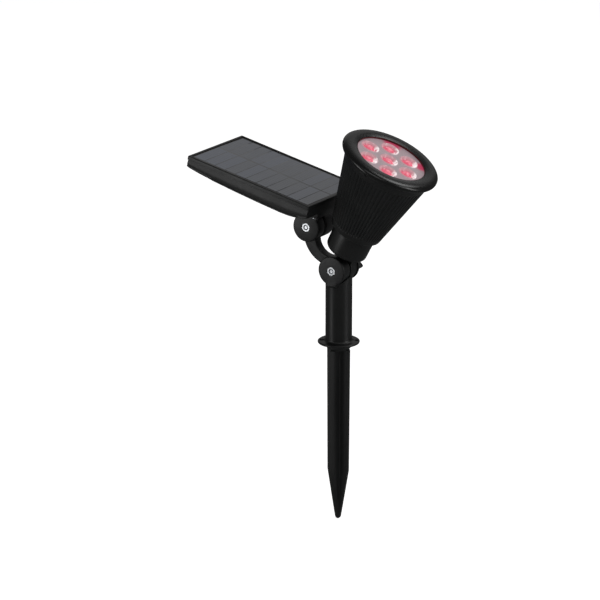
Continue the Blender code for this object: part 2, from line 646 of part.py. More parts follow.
def lamp_optics(axis):
    holder = turned("lens_holder", (
        (0.0, HOLDER_Z[1]), (DISC_R, HOLDER_Z[1]), (DISC_R, HOLDER_Z[0]), (HOLDER_SKIRT_R[1], HOLDER_Z[0]),
        (HOLDER_SKIRT_R[1], HOLDER_SKIRT_Z), (HOLDER_SKIRT_R[0], HOLDER_SKIRT_Z),
        (HOLDER_SKIRT_R[0], HOLDER_Z[0]), (0.0, HOLDER_Z[0])), segments=32, parent=axis, finish="white_abs")
    for place_xy in lens_places():
        cut(holder, rod("lens_hole", LENS_HOLE_R, (HOLDER_Z[0] - 1 * MM, HOLDER_Z[1] + 1 * MM), at=place_xy,
                        segments=12, parent=axis))
    smooth(holder)
    board = rod("led_board", BOARD_R, BOARD_Z, segments=48, parent=axis, finish="white_solder_mask")
    smooth(board)
    lens = turned("collimator_1", (
        (0.0, LENS_Z[1]), (LENS_TOP_R, LENS_Z[1]), (LENS_TOP_R, LENS_Z[1] - 0.8 * MM),
        (LENS_TOP_R * 0.86, LENS_Z[0] + 6.5 * MM), (LENS_BOTTOM_R, LENS_Z[0]), (LENS_HOLLOW_R, LENS_Z[0]),
        (LENS_HOLLOW_R, LENS_Z[0] + 1.9 * MM), (0.0, LENS_Z[0] + 2.4 * MM)),
        segments=LENS_FACETS, parent=axis, finish="clear_pc")
    smooth(lens)
    half = CHIP / 2
    chip = box("led_1", (-half.x, -half.y, CHIP_Z), (half.x, half.y, CHIP_Z + CHIP.z), axis, "led_red")
    for number, (x, y) in enumerate(lens_places()[1:], start=2):
        ring_lens = copy_of(lens, "collimator_%d" % number, move=(x, y, 0.0))
        turn_round(ring_lens, LENS_FACETS)
        copy_of(chip, "led_%d" % number, move=(x, y, 0.0))


def lamp_inside(axis):
    cell = rod("battery_cell", CELL_R, CELL_Z, segments=32, parent=axis, finish="cell_wrap", bevel=0.6 * MM)
    smooth(cell)
    cradle = turned("cell_cradle", (
        (CRADLE_R[0], CRADLE_Z[1]), (CRADLE_R[1], CRADLE_Z[1]), (CRADLE_R[1], CRADLE_Z[0]), (0.0, CRADLE_Z[0]),
        (0.0, CELL_Z[0] - GAP), (CRADLE_R[0], CELL_Z[0] - GAP), (CRADLE_R[0], CRADLE_Z[1])),
        segments=32, parent=axis, finish="white_abs")
    cut(cradle, box("cradle_mouth", (3 * MM, -7 * MM, CELL_Z[0] + 3 * MM),
                    (14 * MM, 7 * MM, CRADLE_Z[1] + 2 * MM), axis))
    smooth(cradle)
    control = rod("control_board", CONTROL_R, CONTROL_Z, segments=32, parent=axis, finish="circuit_green")
    smooth(control)


# Solar panel


def belly_depth(along):
    """Depth of the underside below the face, at a distance from the panel's middle, both in metres."""
    along = min(max(along / MM, BELLY[0][0]), BELLY[-1][0])
    for (x0, d0), (x1, d1) in zip(BELLY, BELLY[1:]):
        if along <= x1:
            return (d0 + (d1 - d0) * (along - x0) / (x1 - x0)) * MM
    return BELLY[-1][1] * MM


def belly_line(start, end, lift, steps):
    """Points of the underside from start to end, raised by lift."""
    stations = [start + (end - start) * step / steps for step in range(steps + 1)]
    return [(PANEL_CENTRE_X + along, PANEL_TOP - belly_depth(along) + lift) for along in stations]


def tray_solid(name, pivot, top, inset, lift, half_width, finish=None, bevel=0.0):
    """The tray's outer form, or the same form drawn in, to hollow it."""
    end = PANEL_LENGTH / 2 - inset
    outline = [(PANEL_CENTRE_X - end, top), (PANEL_CENTRE_X + end, top)] + belly_line(end, -end, lift, 20)
    return slab(name, outline, (-half_width, half_width), pivot, finish, bevel)


def cover_lift():
    return COVER_THICK + GAP


def panel_tray(pivot):
    half = PANEL_WIDTH / 2 - TRAY_INSET
    tray = tray_solid("panel_tray", pivot, TRAY_TOP, TRAY_INSET, 0.0, half, "black_abs")
    hollow = tray_solid("tray_hollow", pivot, TRAY_LEDGE_BOTTOM, TRAY_INSET + TRAY_WALL, cover_lift() + 1.8 * MM,
                        half - TRAY_WALL)
    mouth_end = PANEL_LENGTH / 2 - TRAY_LEDGE
    mouth_half = PANEL_WIDTH / 2 - TRAY_LEDGE
    mouth = box("tray_mouth", (PANEL_CENTRE_X - mouth_end, -mouth_half, TRAY_LEDGE_BOTTOM - 1 * MM),
                (PANEL_CENTRE_X + mouth_end, mouth_half, TRAY_TOP + 1 * MM), pivot)
    recess_outline = belly_line(COVER_X[0] - GAP, COVER_X[1] + GAP, cover_lift(), 16)
    recess_outline += belly_line(COVER_X[1] + GAP, COVER_X[0] - GAP, -6 * MM, 2)
    recess = slab("cover_recess", recess_outline, (-PANEL_WIDTH, PANEL_WIDTH), pivot)
    cut(tray, hollow, mouth, recess)
    hole = rod("button_hole", BUTTON_R + GAP, (5 * MM, 24 * MM), at=(BUTTON_X, 0.0), segments=20, parent=pivot)
    cut(tray, hole)
    for x, y in tray_screw_places():
        cut(tray, rod("tray_screw_hole", 1.8 * MM, (5 * MM, 40 * MM), at=(x, y), segments=12, parent=pivot),
            rod("tray_screw_sink", 3.2 * MM, (5 * MM, screw_seat(x)), at=(x, y), segments=14, parent=pivot))
    for x, y in bracket_screw_places():
        cut(tray, rod("bracket_screw_hole", 1.6 * MM, (5 * MM, 40 * MM), at=(x, y), segments=10, parent=pivot))
    smooth(tray, 30)
    return tray


def tray_screw_places():
    x = PANEL_LENGTH / 2 - 5.4 * MM
    y = PANEL_WIDTH / 2 - 5.4 * MM
    return [(PANEL_CENTRE_X + sx * x, sy * y) for sx in (-1, 1) for sy in (-1, 1)]


def screw_seat(x):
    return PANEL_TOP - belly_depth(x - PANEL_CENTRE_X) + 2.0 * MM


def bracket_screw_places():
    return [(sx * 8.5 * MM, sy * 17.0 * MM) for sx in (-1, 1) for sy in (-1, 1)]


def panel_cover(pivot):
    outline = belly_line(COVER_X[0], COVER_X[1], 0.0, 16) + belly_line(COVER_X[1], COVER_X[0], COVER_THICK, 16)
    half = PANEL_WIDTH / 2 - COVER_INSET_Y
    cover = slab("panel_cover", outline, (-half, half), pivot, "black_abs")
    cut(cover, rod("cover_button_hole", BUTTON_R + GAP, (5 * MM, 24 * MM), at=(BUTTON_X, 0.0), segments=20,
                   parent=pivot),
        box("cover_notch", (BRACKET_X[0] - 2 * GAP, -BRACKET_HALF_Y - 2 * GAP, 5 * MM),
            (40 * MM, BRACKET_HALF_Y + 2 * GAP, 30 * MM), pivot))
    smooth(cover, 30)
    return cover


def panel_top(pivot):
    end, half = PANEL_LENGTH / 2, PANEL_WIDTH / 2
    low, high = (PANEL_CENTRE_X - end, -half, RIM_BOTTOM), (PANEL_CENTRE_X + end, half, PANEL_TOP)
    rim = box("panel_rim", low, high, pivot, "black_abs", bevel=0.5 * MM)
    cut(rim, box("rim_window", (low[0] + RIM_WIDTH, low[1] + RIM_WIDTH, 20 * MM),
                 (high[0] - RIM_WIDTH, high[1] - RIM_WIDTH, 40 * MM), pivot))
    edge = RIM_WIDTH + GAP
    box("pv_laminate", (low[0] + edge, low[1] + edge, PV_Z[0]), (high[0] - edge, high[1] - edge, PV_Z[1]), pivot,
        "cell_laminate")
    gasket = box("panel_gasket", (low[0] + edge, low[1] + edge, GASKET_Z[0]),
                 (high[0] - edge, high[1] - edge, GASKET_Z[1]), pivot, "black_rubber")
    cut(gasket, box("gasket_mouth", (low[0] + TRAY_LEDGE, low[1] + TRAY_LEDGE, 20 * MM),
                    (high[0] - TRAY_LEDGE, high[1] - TRAY_LEDGE, 40 * MM), pivot))


def countersunk_screw(name, x, y, seat, length, head_r, shank_r, parent):
    """A pan-head screw driven upwards, with its head below the seat."""
    head = 1.6 * MM
    screw = turned(name, (
        (0.0, seat - GAP + length), (shank_r * 0.6, seat - GAP + length),
        (shank_r, seat - GAP + length - 1 * MM),
        (shank_r, seat - GAP), (head_r, seat - GAP), (head_r, seat - GAP - head * 0.6),
        (head_r * 0.7, seat - GAP - head),
        (0.0, seat - GAP - head)), segments=12, parent=parent, finish="zinc_steel")
    screw.location = (x, y, 0.0)
    smooth(screw)
    return screw


def panel_screws(pivot):
    for number, (x, y) in enumerate(tray_screw_places(), start=1):
        countersunk_screw("tray_screw_%d" % number, x, y, screw_seat(x), TRAY_TOP - screw_seat(x) - 0.2 * MM,
                          2.8 * MM, 1.4 * MM, pivot)
    for number, (x, y) in enumerate(bracket_screw_places(), start=1):
        countersunk_screw("bracket_screw_%d" % number, x, y, BRACKET_BOTTOM, 9.0 * MM, 2.6 * MM, 1.25 * MM, pivot)


def panel_bracket(pivot):
    bracket = box("panel_bracket", (BRACKET_X[0], -BRACKET_HALF_Y, BRACKET_BOTTOM),
                  (BRACKET_X[1], BRACKET_HALF_Y, 24 * MM), pivot, "black_abs")
    end = PANEL_LENGTH / 2 + 5 * MM
    over = [(PANEL_CENTRE_X - end, 40 * MM), (PANEL_CENTRE_X + end, 40 * MM)] + belly_line(end, -end, -GAP, 20)
    cut(bracket, slab("belly_over", over, (-PANEL_WIDTH, PANEL_WIDTH), pivot))
    plate, boss = front_ear_parts(pivot, neck=True)
    barrel_outline = ear_outline(BARREL_R, BRACKET_NECK_HALF, BRACKET_BOTTOM + 1.5 * MM)
    barrel = slab("rear_barrel", barrel_outline, BARREL_Y, pivot)
    join(bracket, plate, barrel, boss)
    cut(bracket, *bolt_cutters(pivot))
    for x, y in bracket_screw_places():
        cut(bracket, rod("bracket_hole", 1.6 * MM, (5 * MM, 30 * MM), at=(x, y), segments=10, parent=pivot))
    smooth(bracket)
    return bracket


def panel_inside(pivot):
    middle_x = BUTTON_X
    low = (middle_x - CHARGE_BOARD.x / 2, -CHARGE_BOARD.y / 2, CHARGE_BOARD_Z)
    high = (middle_x + CHARGE_BOARD.x / 2, CHARGE_BOARD.y / 2, CHARGE_BOARD_Z + CHARGE_BOARD.z)
    box("charge_board", low, high, pivot, "circuit_green")
    box("mode_switch", (middle_x - 3 * MM, -3 * MM, CHARGE_BOARD_Z - GAP - 0.9 * MM),
        (middle_x + 3 * MM, 3 * MM, CHARGE_BOARD_Z - GAP), pivot, "black_abs")


def power_button(pivot):
    outside = PANEL_TOP - belly_depth(BUTTON_X - PANEL_CENTRE_X) - 1.3 * MM
    inside = CHARGE_BOARD_Z - GAP - 0.9 * MM - GAP - BUTTON_TRAVEL
    flange_z = inside - 0.6 * MM
    button = turned("power_button", (
        (0.0, inside), (BUTTON_STEM_R, inside), (BUTTON_STEM_R, flange_z), (BUTTON_R, flange_z),
        (BUTTON_R, outside + 0.6 * MM), (BUTTON_R - 0.6 * MM, outside), (0.0, outside)),
        segments=20, parent=pivot, finish="black_rubber")
    button.location = (BUTTON_X, 0.0, 0.0)
    smooth(button)
    return button


def build():
    ground_spike()
    post_pivot = empty("lower_knuckle", (0.0, 0.0, KNUCKLE_HEIGHT))
    post(post_pivot)
    clamp_set("lower", post_pivot, radians(-7))
    pivot_link(post_pivot)

    lamp_pivot = empty("lamp_pivot", (0.0, 0.0, KNUCKLE_HEIGHT), LAMP_TILT)
    lamp_axis = empty("lamp_axis", (LAMP_AXIS_SHIFT, 0.0, 0.0), parent=lamp_pivot)
    lamp_base(lamp_pivot, lamp_axis)
    lamp_housing(lamp_axis)
    lamp_front(lamp_axis)
    lamp_optics(lamp_axis)
    lamp_inside(lamp_axis)

    upper = Vector((0.0, 0.0, KNUCKLE_HEIGHT)) + UPPER_FROM_LOWER
    panel_pivot = empty("upper_knuckle", upper, PANEL_TILT)
    clamp_set("upper", panel_pivot, radians(60))
    panel_bracket(panel_pivot)
    panel_tray(panel_pivot)
    panel_cover(panel_pivot)
    panel_top(panel_pivot)
    panel_screws(panel_pivot)
    panel_inside(panel_pivot)
    power_button(panel_pivot)


build()
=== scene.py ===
import json
from math import acos, atan2, cos, hypot, pi, radians, sin, sqrt, tan

import bmesh
import bpy
from mathutils import Matrix, Vector


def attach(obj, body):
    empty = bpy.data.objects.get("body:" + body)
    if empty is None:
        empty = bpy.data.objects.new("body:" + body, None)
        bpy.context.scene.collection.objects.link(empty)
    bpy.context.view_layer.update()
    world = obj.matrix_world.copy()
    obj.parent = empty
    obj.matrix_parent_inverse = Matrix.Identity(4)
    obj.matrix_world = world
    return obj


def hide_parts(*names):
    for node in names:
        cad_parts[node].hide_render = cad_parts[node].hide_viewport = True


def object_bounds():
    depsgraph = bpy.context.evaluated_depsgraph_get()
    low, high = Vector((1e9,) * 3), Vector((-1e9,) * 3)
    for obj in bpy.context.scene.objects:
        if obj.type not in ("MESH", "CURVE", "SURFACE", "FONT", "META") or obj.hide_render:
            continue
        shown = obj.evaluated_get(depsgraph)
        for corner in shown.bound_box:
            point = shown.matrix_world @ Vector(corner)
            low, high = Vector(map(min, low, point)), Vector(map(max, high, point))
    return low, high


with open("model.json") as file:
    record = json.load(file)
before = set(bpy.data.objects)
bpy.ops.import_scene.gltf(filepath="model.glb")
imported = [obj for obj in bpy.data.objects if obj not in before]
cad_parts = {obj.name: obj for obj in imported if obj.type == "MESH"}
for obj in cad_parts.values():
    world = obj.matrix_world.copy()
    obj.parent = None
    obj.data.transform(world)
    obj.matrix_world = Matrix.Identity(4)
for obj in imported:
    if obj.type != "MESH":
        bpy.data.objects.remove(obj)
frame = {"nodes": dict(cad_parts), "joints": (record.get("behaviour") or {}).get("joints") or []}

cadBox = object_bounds()
scene = bpy.context.scene
mm = 0.001
joints = {joint["name"]: joint for joint in frame["joints"]}


# a part is drawn in its own millimetres, then put in its place in the row's frame
def atJoint(name, tilt=0.0, shift=0.0):
    place = Matrix.Translation(joints[name]["pos_m"]) @ Matrix.Rotation(radians(tilt), 4, "Y")
    return place @ Matrix.Scale(mm, 4) @ Matrix.Translation((shift, 0.0, 0.0))


tilts = {"lamp": 26.8, "panel": 13.3, "lampAxisShift": -1.4}
groundPlace = Matrix.Scale(mm, 4)
postPlace = atJoint("lamp_tilt")
lugPlace = atJoint("lamp_tilt", tilts["lamp"])
lampPlace = atJoint("lamp_tilt", tilts["lamp"], tilts["lampAxisShift"])
panelPlace = atJoint("panel_tilt", tilts["panel"])


def linear(hexColour):
    channels = [int(hexColour[start:start + 2], 16) / 255 for start in (1, 3, 5)]
    return tuple(c / 12.92 if c <= 0.04045 else ((c + 0.055) / 1.055) ** 2.4 for c in channels) + (1.0,)


# sets a node's inputs: a value is kept, and a socket, or a node's first socket, is linked
def feed(tree, node, inputs):
    for name, value in inputs.items():
        if isinstance(value, bpy.types.Node):
            value = value.outputs[0]
        if isinstance(value, bpy.types.NodeSocket):
            tree.links.new(value, node.inputs[name])
        else:
            node.inputs[name].default_value = value


# adds one node: inputs as above, and settings are the node's own properties
def addNode(tree, kind, inputs=None, **settings):
    node = tree.nodes.new(kind)
    for name, value in settings.items():
        setattr(node, name, value)
    feed(tree, node, inputs or {})
    return node


# an arc in place of each corner that has a radius; points are (across, up, radius)
def roundedLine(points, steps=5, closed=True):
    line = []
    count = len(points)
    for index, (x, z, radius) in enumerate(points):
        here = Vector((x, z))
        if not radius or (not closed and index in (0, count - 1)):
            line.append((x, z))
            continue
        toBefore = Vector(points[index - 1][:2]) - here
        toAfter = Vector(points[(index + 1) % count][:2]) - here
        between = toBefore.angle(toAfter)
        back = min(radius / tan(between / 2), 0.48 * toBefore.length, 0.48 * toAfter.length)
        radius = back * tan(between / 2)
        centre = here + (toBefore.normalized() + toAfter.normalized()).normalized() * radius / sin(between / 2)
        start = here + toBefore.normalized() * back - centre
        sweep = start.angle_signed(here + toAfter.normalized() * back - centre)
        for step in range(steps + 1):
            spot = centre + Matrix.Rotation(-sweep * step / steps, 2) @ start
            line.append((spot.x, spot.y))
    return line


def arc(centre, radius, start, end, steps):
    angles = [start + (end - start) * step / steps for step in range(steps + 1)]
    return [(centre[0] + radius * cos(angle), centre[1] + radius * sin(angle)) for angle in angles]


# a smooth line through the given points
def splineLine(points, steps=4):
    line = []
    for index in range(len(points) - 1):
        around = [Vector(points[min(max(index + offset, 0), len(points) - 1)]) for offset in (-1, 0, 1, 2)]
        for step in range(steps):
            t = step / steps
            spot = 0.5 * (2 * around[1] + (around[2] - around[0]) * t
                          + (2 * around[0] - 5 * around[1] + 4 * around[2] - around[3]) * t ** 2
                          + (3 * around[1] - around[0] - 3 * around[2] + around[3]) * t ** 3)
            line.append((spot.x, spot.y))
    return line + [tuple(points[-1])]


# a profile of (radius, height) turned about Z, or about Y with alongY
def turned(profile, around=96, closed=True, alongY=False, at=(0.0, 0.0)):
    form = bmesh.new()
    points = [form.verts.new((max(radius, 0.0), 0.0, height)) for radius, height in profile]
    pairs = list(zip(points, points[1:])) + ([(points[-1], points[0])] if closed else [])
    for first, second in pairs:
        if max(first.co.x, second.co.x) > 1e-6:
            form.edges.new((first, second))
    bmesh.ops.spin(form, geom=form.verts[:] + form.edges[:], cent=(0, 0, 0), axis=(0, 0, 1), angle=2 * pi,
                   steps=around, use_merge=True)
    bmesh.ops.remove_doubles(form, verts=form.verts, dist=1e-4)
    bmesh.ops.recalc_face_normals(form, faces=form.faces)
    if alongY:
        bmesh.ops.rotate(form, verts=form.verts, matrix=Matrix.Rotation(-pi / 2, 3, "X"))
        bmesh.ops.translate(form, verts=form.verts, vec=(at[0], 0.0, at[1]))
    else:
        bmesh.ops.translate(form, verts=form.verts, vec=(at[0], at[1], 0.0))
    return form


# a disc or barrel on the Y axis with rounded rims
def drum(radius, low, high, rimLow=0.0, rimHigh=0.0, around=96, at=(0.0, 0.0)):
    profile = roundedLine([(0, high, 0), (radius, high, rimHigh), (radius, low, rimLow), (0, low, 0)], 6)
    return turned(profile, around, alongY=True, at=at)


def pin(radius, low, high, around=32, at=(0.0, 0.0)):
    return turned([(0, high), (radius, high), (radius, low), (0, low)], around, at=at)


# a flat outline in X and Z given thickness along Y, with rounded rims
def plate(outline, low, high, rim=0.0, steps=4):
    form = bmesh.new()
    face = form.faces.new([form.verts.new((x, low, z)) for x, z in outline])
    pushed = bmesh.ops.extrude_face_region(form, geom=[face])
    moved = [item for item in pushed["geom"] if isinstance(item, bmesh.types.BMVert)]
    bmesh.ops.translate(form, verts=moved, vec=(0.0, high - low, 0.0))
    bmesh.ops.recalc_face_normals(form, faces=form.faces)
    if rim:
        rims = [edge for edge in form.edges if any(len(face.verts) > 4 for face in edge.link_faces)]
        bmesh.ops.bevel(form, geom=rims, offset=rim, segments=steps, profile=0.5, affect="EDGES",
                        clamp_overlap=False)
    return form


# skins outlines of points one after another; an open loft gets its two end faces
def lofted(outlines, closed=False):
    form = bmesh.new()
    rings = [[form.verts.new(point) for point in outline] for outline in outlines]
    pairs = list(zip(rings, rings[1:])) + ([(rings[-1], rings[0])] if closed else [])
    for first, second in pairs:
        for index in range(len(first)):
            after = (index + 1) % len(first)
            form.faces.new((first[index], second[index], second[after], first[after]))
    if not closed:
        form.faces.new(rings[0])
        form.faces.new(rings[-1])
    bmesh.ops.recalc_face_normals(form, faces=form.faces)
    return form


def block(low, high, bevel=0.0):
    form = bmesh.new()
    bmesh.ops.create_cube(form, size=1.0)
    size = Vector(high) - Vector(low)
    middle = (Vector(high) + Vector(low)) / 2
    place = Matrix.Translation(middle) @ Matrix.Diagonal((*size, 1.0))
    bmesh.ops.transform(form, matrix=place, verts=form.verts)
    if bevel:
        bmesh.ops.bevel(form, geom=form.edges[:], offset=bevel, segments=4, profile=0.5, affect="EDGES")
    return form


def toMesh(form, name):
    mesh = bpy.data.meshes.new(name)
    form.to_mesh(mesh)
    form.free()
    return mesh


def toScene(name, data):
    item = bpy.data.objects.new(name, data)
    scene.collection.objects.link(item)
    return item


def toObject(form, name="working"):
    return toScene(name, toMesh(form, name))


def joins(*forms):
    return [("UNION", form) for form in forms]


def cuts(*forms):
    return [("DIFFERENCE", form) for form in forms]


# joins and cuts forms one after another; work is a list of (operation, form)
def shaped(form, work):
    base = toObject(form)
    others = []
    for operation, other in work:
        others.append(toObject(other, "tool"))
        step = base.modifiers.new(operation, "BOOLEAN")
        step.operation = operation
        step.object = others[-1]
        step.solver = "EXACT"
    evaluated = base.evaluated_get(bpy.context.evaluated_depsgraph_get())
    result = bmesh.new()
    result.from_mesh(evaluated.to_mesh())
    for item in [base, *others]:
        bpy.data.objects.remove(item)
    bmesh.ops.remove_doubles(result, verts=result.verts, dist=1e-4)
    return result


# the finished piece: its place goes into the mesh, so the object stays at the origin
def finishPiece(name, form, place, body, material, nodes=(), sharp=32):
    mesh = toMesh(form, name) if isinstance(form, bmesh.types.BMesh) else form
    own = mesh.attributes.new("ownPlace", "FLOAT_VECTOR", "POINT")  # the part's own millimetres, for patterns
    flat = [value for vertex in mesh.vertices for value in vertex.co]
    own.data.foreach_set("vector", flat)
    mesh.transform(place)
    mesh.materials.clear()
    mesh.materials.append(material)
    mesh.shade_smooth()
    mesh.set_sharp_from_angle(angle=radians(sharp))
    piece = toScene(name, mesh)
    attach(piece, body)
    if nodes:
        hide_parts(*nodes)


def newFinish(name, colour, roughness, metallic=0.0, ior=1.5):
    material = bpy.data.materials.new(name)
    material.use_nodes = True
    tree = material.node_tree
    shader = tree.nodes["Principled BSDF"]
    feed(tree, shader, {"Base Color": linear(colour), "Roughness": roughness, "Metallic": metallic})
    if not metallic:
        shader.inputs["IOR"].default_value = ior
    return material, tree, shader


# two shades blended by the middle part of a pattern
def blended(tree, pattern, shades):
    share = addNode(tree, "ShaderNodeMapRange", {"Value": pattern, "From Min": 0.3, "From Max": 0.7})
    mixed = addNode(tree, "ShaderNodeMix", {0: share, 6: linear(shades[0]), 7: linear(shades[1])},
                    data_type="RGBA")
    return mixed.outputs[2]


# two shades mixed by a soft noise, roughness that wanders, and a fine grain in the surface; sizes in millimetres
def grainedFinish(name, shades, roughness, grain, mottle, relief, metallic=0.0, ior=1.5, stretch=(1, 1, 1)):
    material, tree, shader = newFinish(name, shades[0], roughness[0], metallic, ior)
    place = addNode(tree, "ShaderNodeTexCoord").outputs["Object"]
    turn = addNode(tree, "ShaderNodeMapping", {"Vector": place, "Scale": stretch})
    wide, fine = [addNode(tree, "ShaderNodeTexNoise", {"Vector": turn, "Scale": 1 / (size * mm), "Detail": detail,
                                                       "Roughness": rough})
                  for size, detail, rough in ((mottle, 3.0, 0.55), (grain, 2.0, 0.6))]
    both = addNode(tree, "ShaderNodeMath", {0: wide, 1: fine}, operation="ADD")
    rough = addNode(tree, "ShaderNodeMapRange", {"Value": both, "From Min": 0.7, "From Max": 1.3,
                                                 "To Min": roughness[0], "To Max": roughness[1]})
    bump = addNode(tree, "ShaderNodeBump", {"Height": fine, "Strength": relief[0], "Distance": relief[1] * mm})
    feed(tree, shader, {"Base Color": blended(tree, wide, shades), "Roughness": rough, "Normal": bump})
    return material, tree, shader


# ABS from a spark-eroded mould: an even satin black. The real grain is 0.1 mm, drawn at 0.6 so that it shows
satinAbs = grainedFinish("satinAbs", ("#0a0b0b", "#0f1010"), (0.36, 0.46), 0.6, 22.0, (0.10, 0.05))[0]
# ABS from a brushed mould, on the bezel: closer to gloss, so the softboxes draw clear lines along it
glossAbs = grainedFinish("glossAbs", ("#090a0a", "#0d0e0d"), (0.22, 0.30), 0.8, 26.0, (0.05, 0.04))[0]
# polypropylene, waxier than ABS, with long flow marks down the spike
flowPolypropylene = grainedFinish("flowPolypropylene", ("#0b0c0c", "#111212"), (0.36, 0.50), 0.7, 14.0,
                                  (0.12, 0.05), ior=1.49, stretch=(1, 1, 0.25))[0]
# steel under bright zinc: a light silver with fine rub marks from the spanner
zincSteel = grainedFinish("zincSteel", ("#b9bcc0", "#dcdee0"), (0.18, 0.34), 0.35, 2.5, (0.10, 0.02),
                          metallic=1.0)[0]
# nitrile rubber: dead matt and a little dusty
nitrileRubber = grainedFinish("nitrileRubber", ("#0c0c0c", "#141414"), (0.70, 0.85), 0.5, 6.0, (0.25, 0.05),
                              ior=1.52)[0]
# silicone seal lit from inside: a thin saturated red line
redSilicone = grainedFinish("redSilicone", ("#4d0b12", "#5f0f18"), (0.40, 0.55), 0.5, 5.0, (0.1, 0.04),
                            ior=1.41)[0]
# glass-epoxy board under green solder mask
greenMask = grainedFinish("greenMask", ("#0c4a26", "#11592f"), (0.28, 0.40), 0.8, 5.0, (0.15, 0.03),
                          ior=1.55)[0]
# aluminium board under white solder mask
whiteMask = grainedFinish("whiteMask", ("#dcdad5", "#e9e7e2"), (0.30, 0.42), 0.8, 8.0, (0.08, 0.03),
                          ior=1.55)[0]
# shrink sleeve on the cell: glossy blue PVC
blueSleeve = grainedFinish("blueSleeve", ("#1b5590", "#2262a2"), (0.22, 0.32), 1.2, 12.0, (0.08, 0.05),
                           ior=1.53)[0]
# white ABS, plain moulded, inside the lamp
whiteAbs = grainedFinish("whiteAbs", ("#c9c4c2", "#dad6d3"), (0.38, 0.50), 0.6, 9.0, (0.08, 0.04))[0]


# the lens holder's face: white ABS with painted light, a warm grey-pink in its base shades and a painted glow that
# stand in for the lit diodes, with painted red light spills at its rim
def paintedGlowAbs():
    material, tree, shader = grainedFinish("paintedGlowAbs", ("#6f6867", "#8a8281"), (0.30, 0.42), 0.6, 7.0,
                                           (0.06, 0.04))
    own = addNode(tree, "ShaderNodeAttribute", attribute_name="ownPlace").outputs["Vector"]
    split = addNode(tree, "ShaderNodeSeparateXYZ", {"Vector": own}).outputs
    azimuth = addNode(tree, "ShaderNodeMath", {0: split["Y"], 1: split["X"]}, operation="ARCTAN2")
    flat = addNode(tree, "ShaderNodeCombineXYZ", {"X": split["X"], "Y": split["Y"]})
    length = addNode(tree, "ShaderNodeVectorMath", {0: flat}, operation="LENGTH").outputs["Value"]
    rim = addNode(tree, "ShaderNodeMapRange", {"Value": length, "From Min": 24.0, "From Max": 27.5})
    # two painted light spills, each a soft bump in azimuth round its middle; both angles in radians
    spills = []
    for middle, half in ((2.08, 0.34), (0.90, 0.26)):
        away = addNode(tree, "ShaderNodeMath", {0: azimuth, 1: middle}, operation="SUBTRACT")
        size = addNode(tree, "ShaderNodeMath", {0: away}, operation="ABSOLUTE")
        spills.append(addNode(tree, "ShaderNodeMapRange", {
            "Value": size, "From Min": half, "From Max": half * 0.4}, interpolation_type="SMOOTHSTEP"))
    total = addNode(tree, "ShaderNodeMath", {0: spills[0], 1: spills[1]}, operation="ADD")
    glow = addNode(tree, "ShaderNodeMath", {0: rim, 1: total}, operation="MULTIPLY", use_clamp=True)
    base = shader.inputs["Base Color"].links[0].from_socket
    # the painted red spill goes into the base colour and the painted glow alike
    for socket, plain, paintedSpillColour in (("Base Color", base, "#8e1f38"),
                                   ("Emission Color", linear("#928086"), "#b03a58")):
        mixed = addNode(tree, "ShaderNodeMix", {0: glow, 6: plain, 7: linear(paintedSpillColour)}, data_type="RGBA")
        tree.links.new(mixed.outputs[2], shader.inputs[socket])
    # painted glow: the holder shines by itself, though it is no lamp
    shader.inputs["Emission Strength"].default_value = 1.0
    return material


# clear polycarbonate pane: all but unseen, with a soft glint
def clearPane():
    material, tree, shader = grainedFinish("clearPane", ("#5d6264", "#6a7072"), (0.06, 0.12), 1.5, 14.0,
                                           (0.03, 0.02), ior=1.585)
    shader.inputs["Alpha"].default_value = 0.06
    return material


# collimator wall: clear polycarbonate that throws the light back; its light is painted, a painted white highlight
# where it catches the light and a painted pink glow of the diodes elsewhere, with a pink base tint from the same
# light
def collimatorWall():
    material, tree, shader = newFinish("collimatorWall", "#8a7276", 0.12, ior=1.585)
    height = addNode(tree, "ShaderNodeAttribute", attribute_name="cupHeight").outputs["Fac"]
    side = addNode(tree, "ShaderNodeAttribute", attribute_name="glintSide").outputs["Fac"]
    place = addNode(tree, "ShaderNodeTexCoord").outputs["Object"]
    streak = addNode(tree, "ShaderNodeTexNoise", {"Vector": place, "Scale": 1 / (3.0 * mm), "Detail": 1.5})
    # painted highlight: white on the side facing brightTurn, broken by streaks
    catch = addNode(tree, "ShaderNodeMapRange", {"Value": side, "From Min": 0.35, "From Max": 0.9},
                    interpolation_type="SMOOTHSTEP")
    broken = addNode(tree, "ShaderNodeMapRange", {"Value": streak, "From Min": 0.36, "From Max": 0.52})
    bright = addNode(tree, "ShaderNodeMath", {0: catch, 1: broken}, operation="MULTIPLY")
    # painted pink glow of the diodes, deeper at the throat and paler towards the rim
    low = blended(tree, height, ("#c9536a", "#b98c93"))
    glow = addNode(tree, "ShaderNodeMix", {0: bright, 6: low, 7: linear("#fff6f6")}, data_type="RGBA")
    feed(tree, shader, {"Emission Color": glow.outputs[2], "Emission Strength": 0.9})
    return material


# silicone dome over a lit red die: pink, with paler patches towards the dome's top that are painted highlights,
# and deeper ones
def litDome():
    material, tree, shader = newFinish("litDome", "#c8586c", 0.18, ior=1.41)
    height = addNode(tree, "ShaderNodeAttribute", attribute_name="cupHeight").outputs["Fac"]
    place = addNode(tree, "ShaderNodeTexCoord").outputs["Object"]
    blot = addNode(tree, "ShaderNodeTexNoise", {"Vector": place, "Scale": 1 / (2.6 * mm), "Detail": 1.5})
    # painted highlight: paler pink where height and noise are both high
    paintedHighlightPatch = addNode(tree, "ShaderNodeMath", {0: height, 1: blot}, operation="MULTIPLY")
    glow = blended(tree, paintedHighlightPatch, ("#d5566e", "#f3a3ae"))
    feed(tree, shader, {"Emission Color": glow, "Emission Strength": 0.85})
    return material


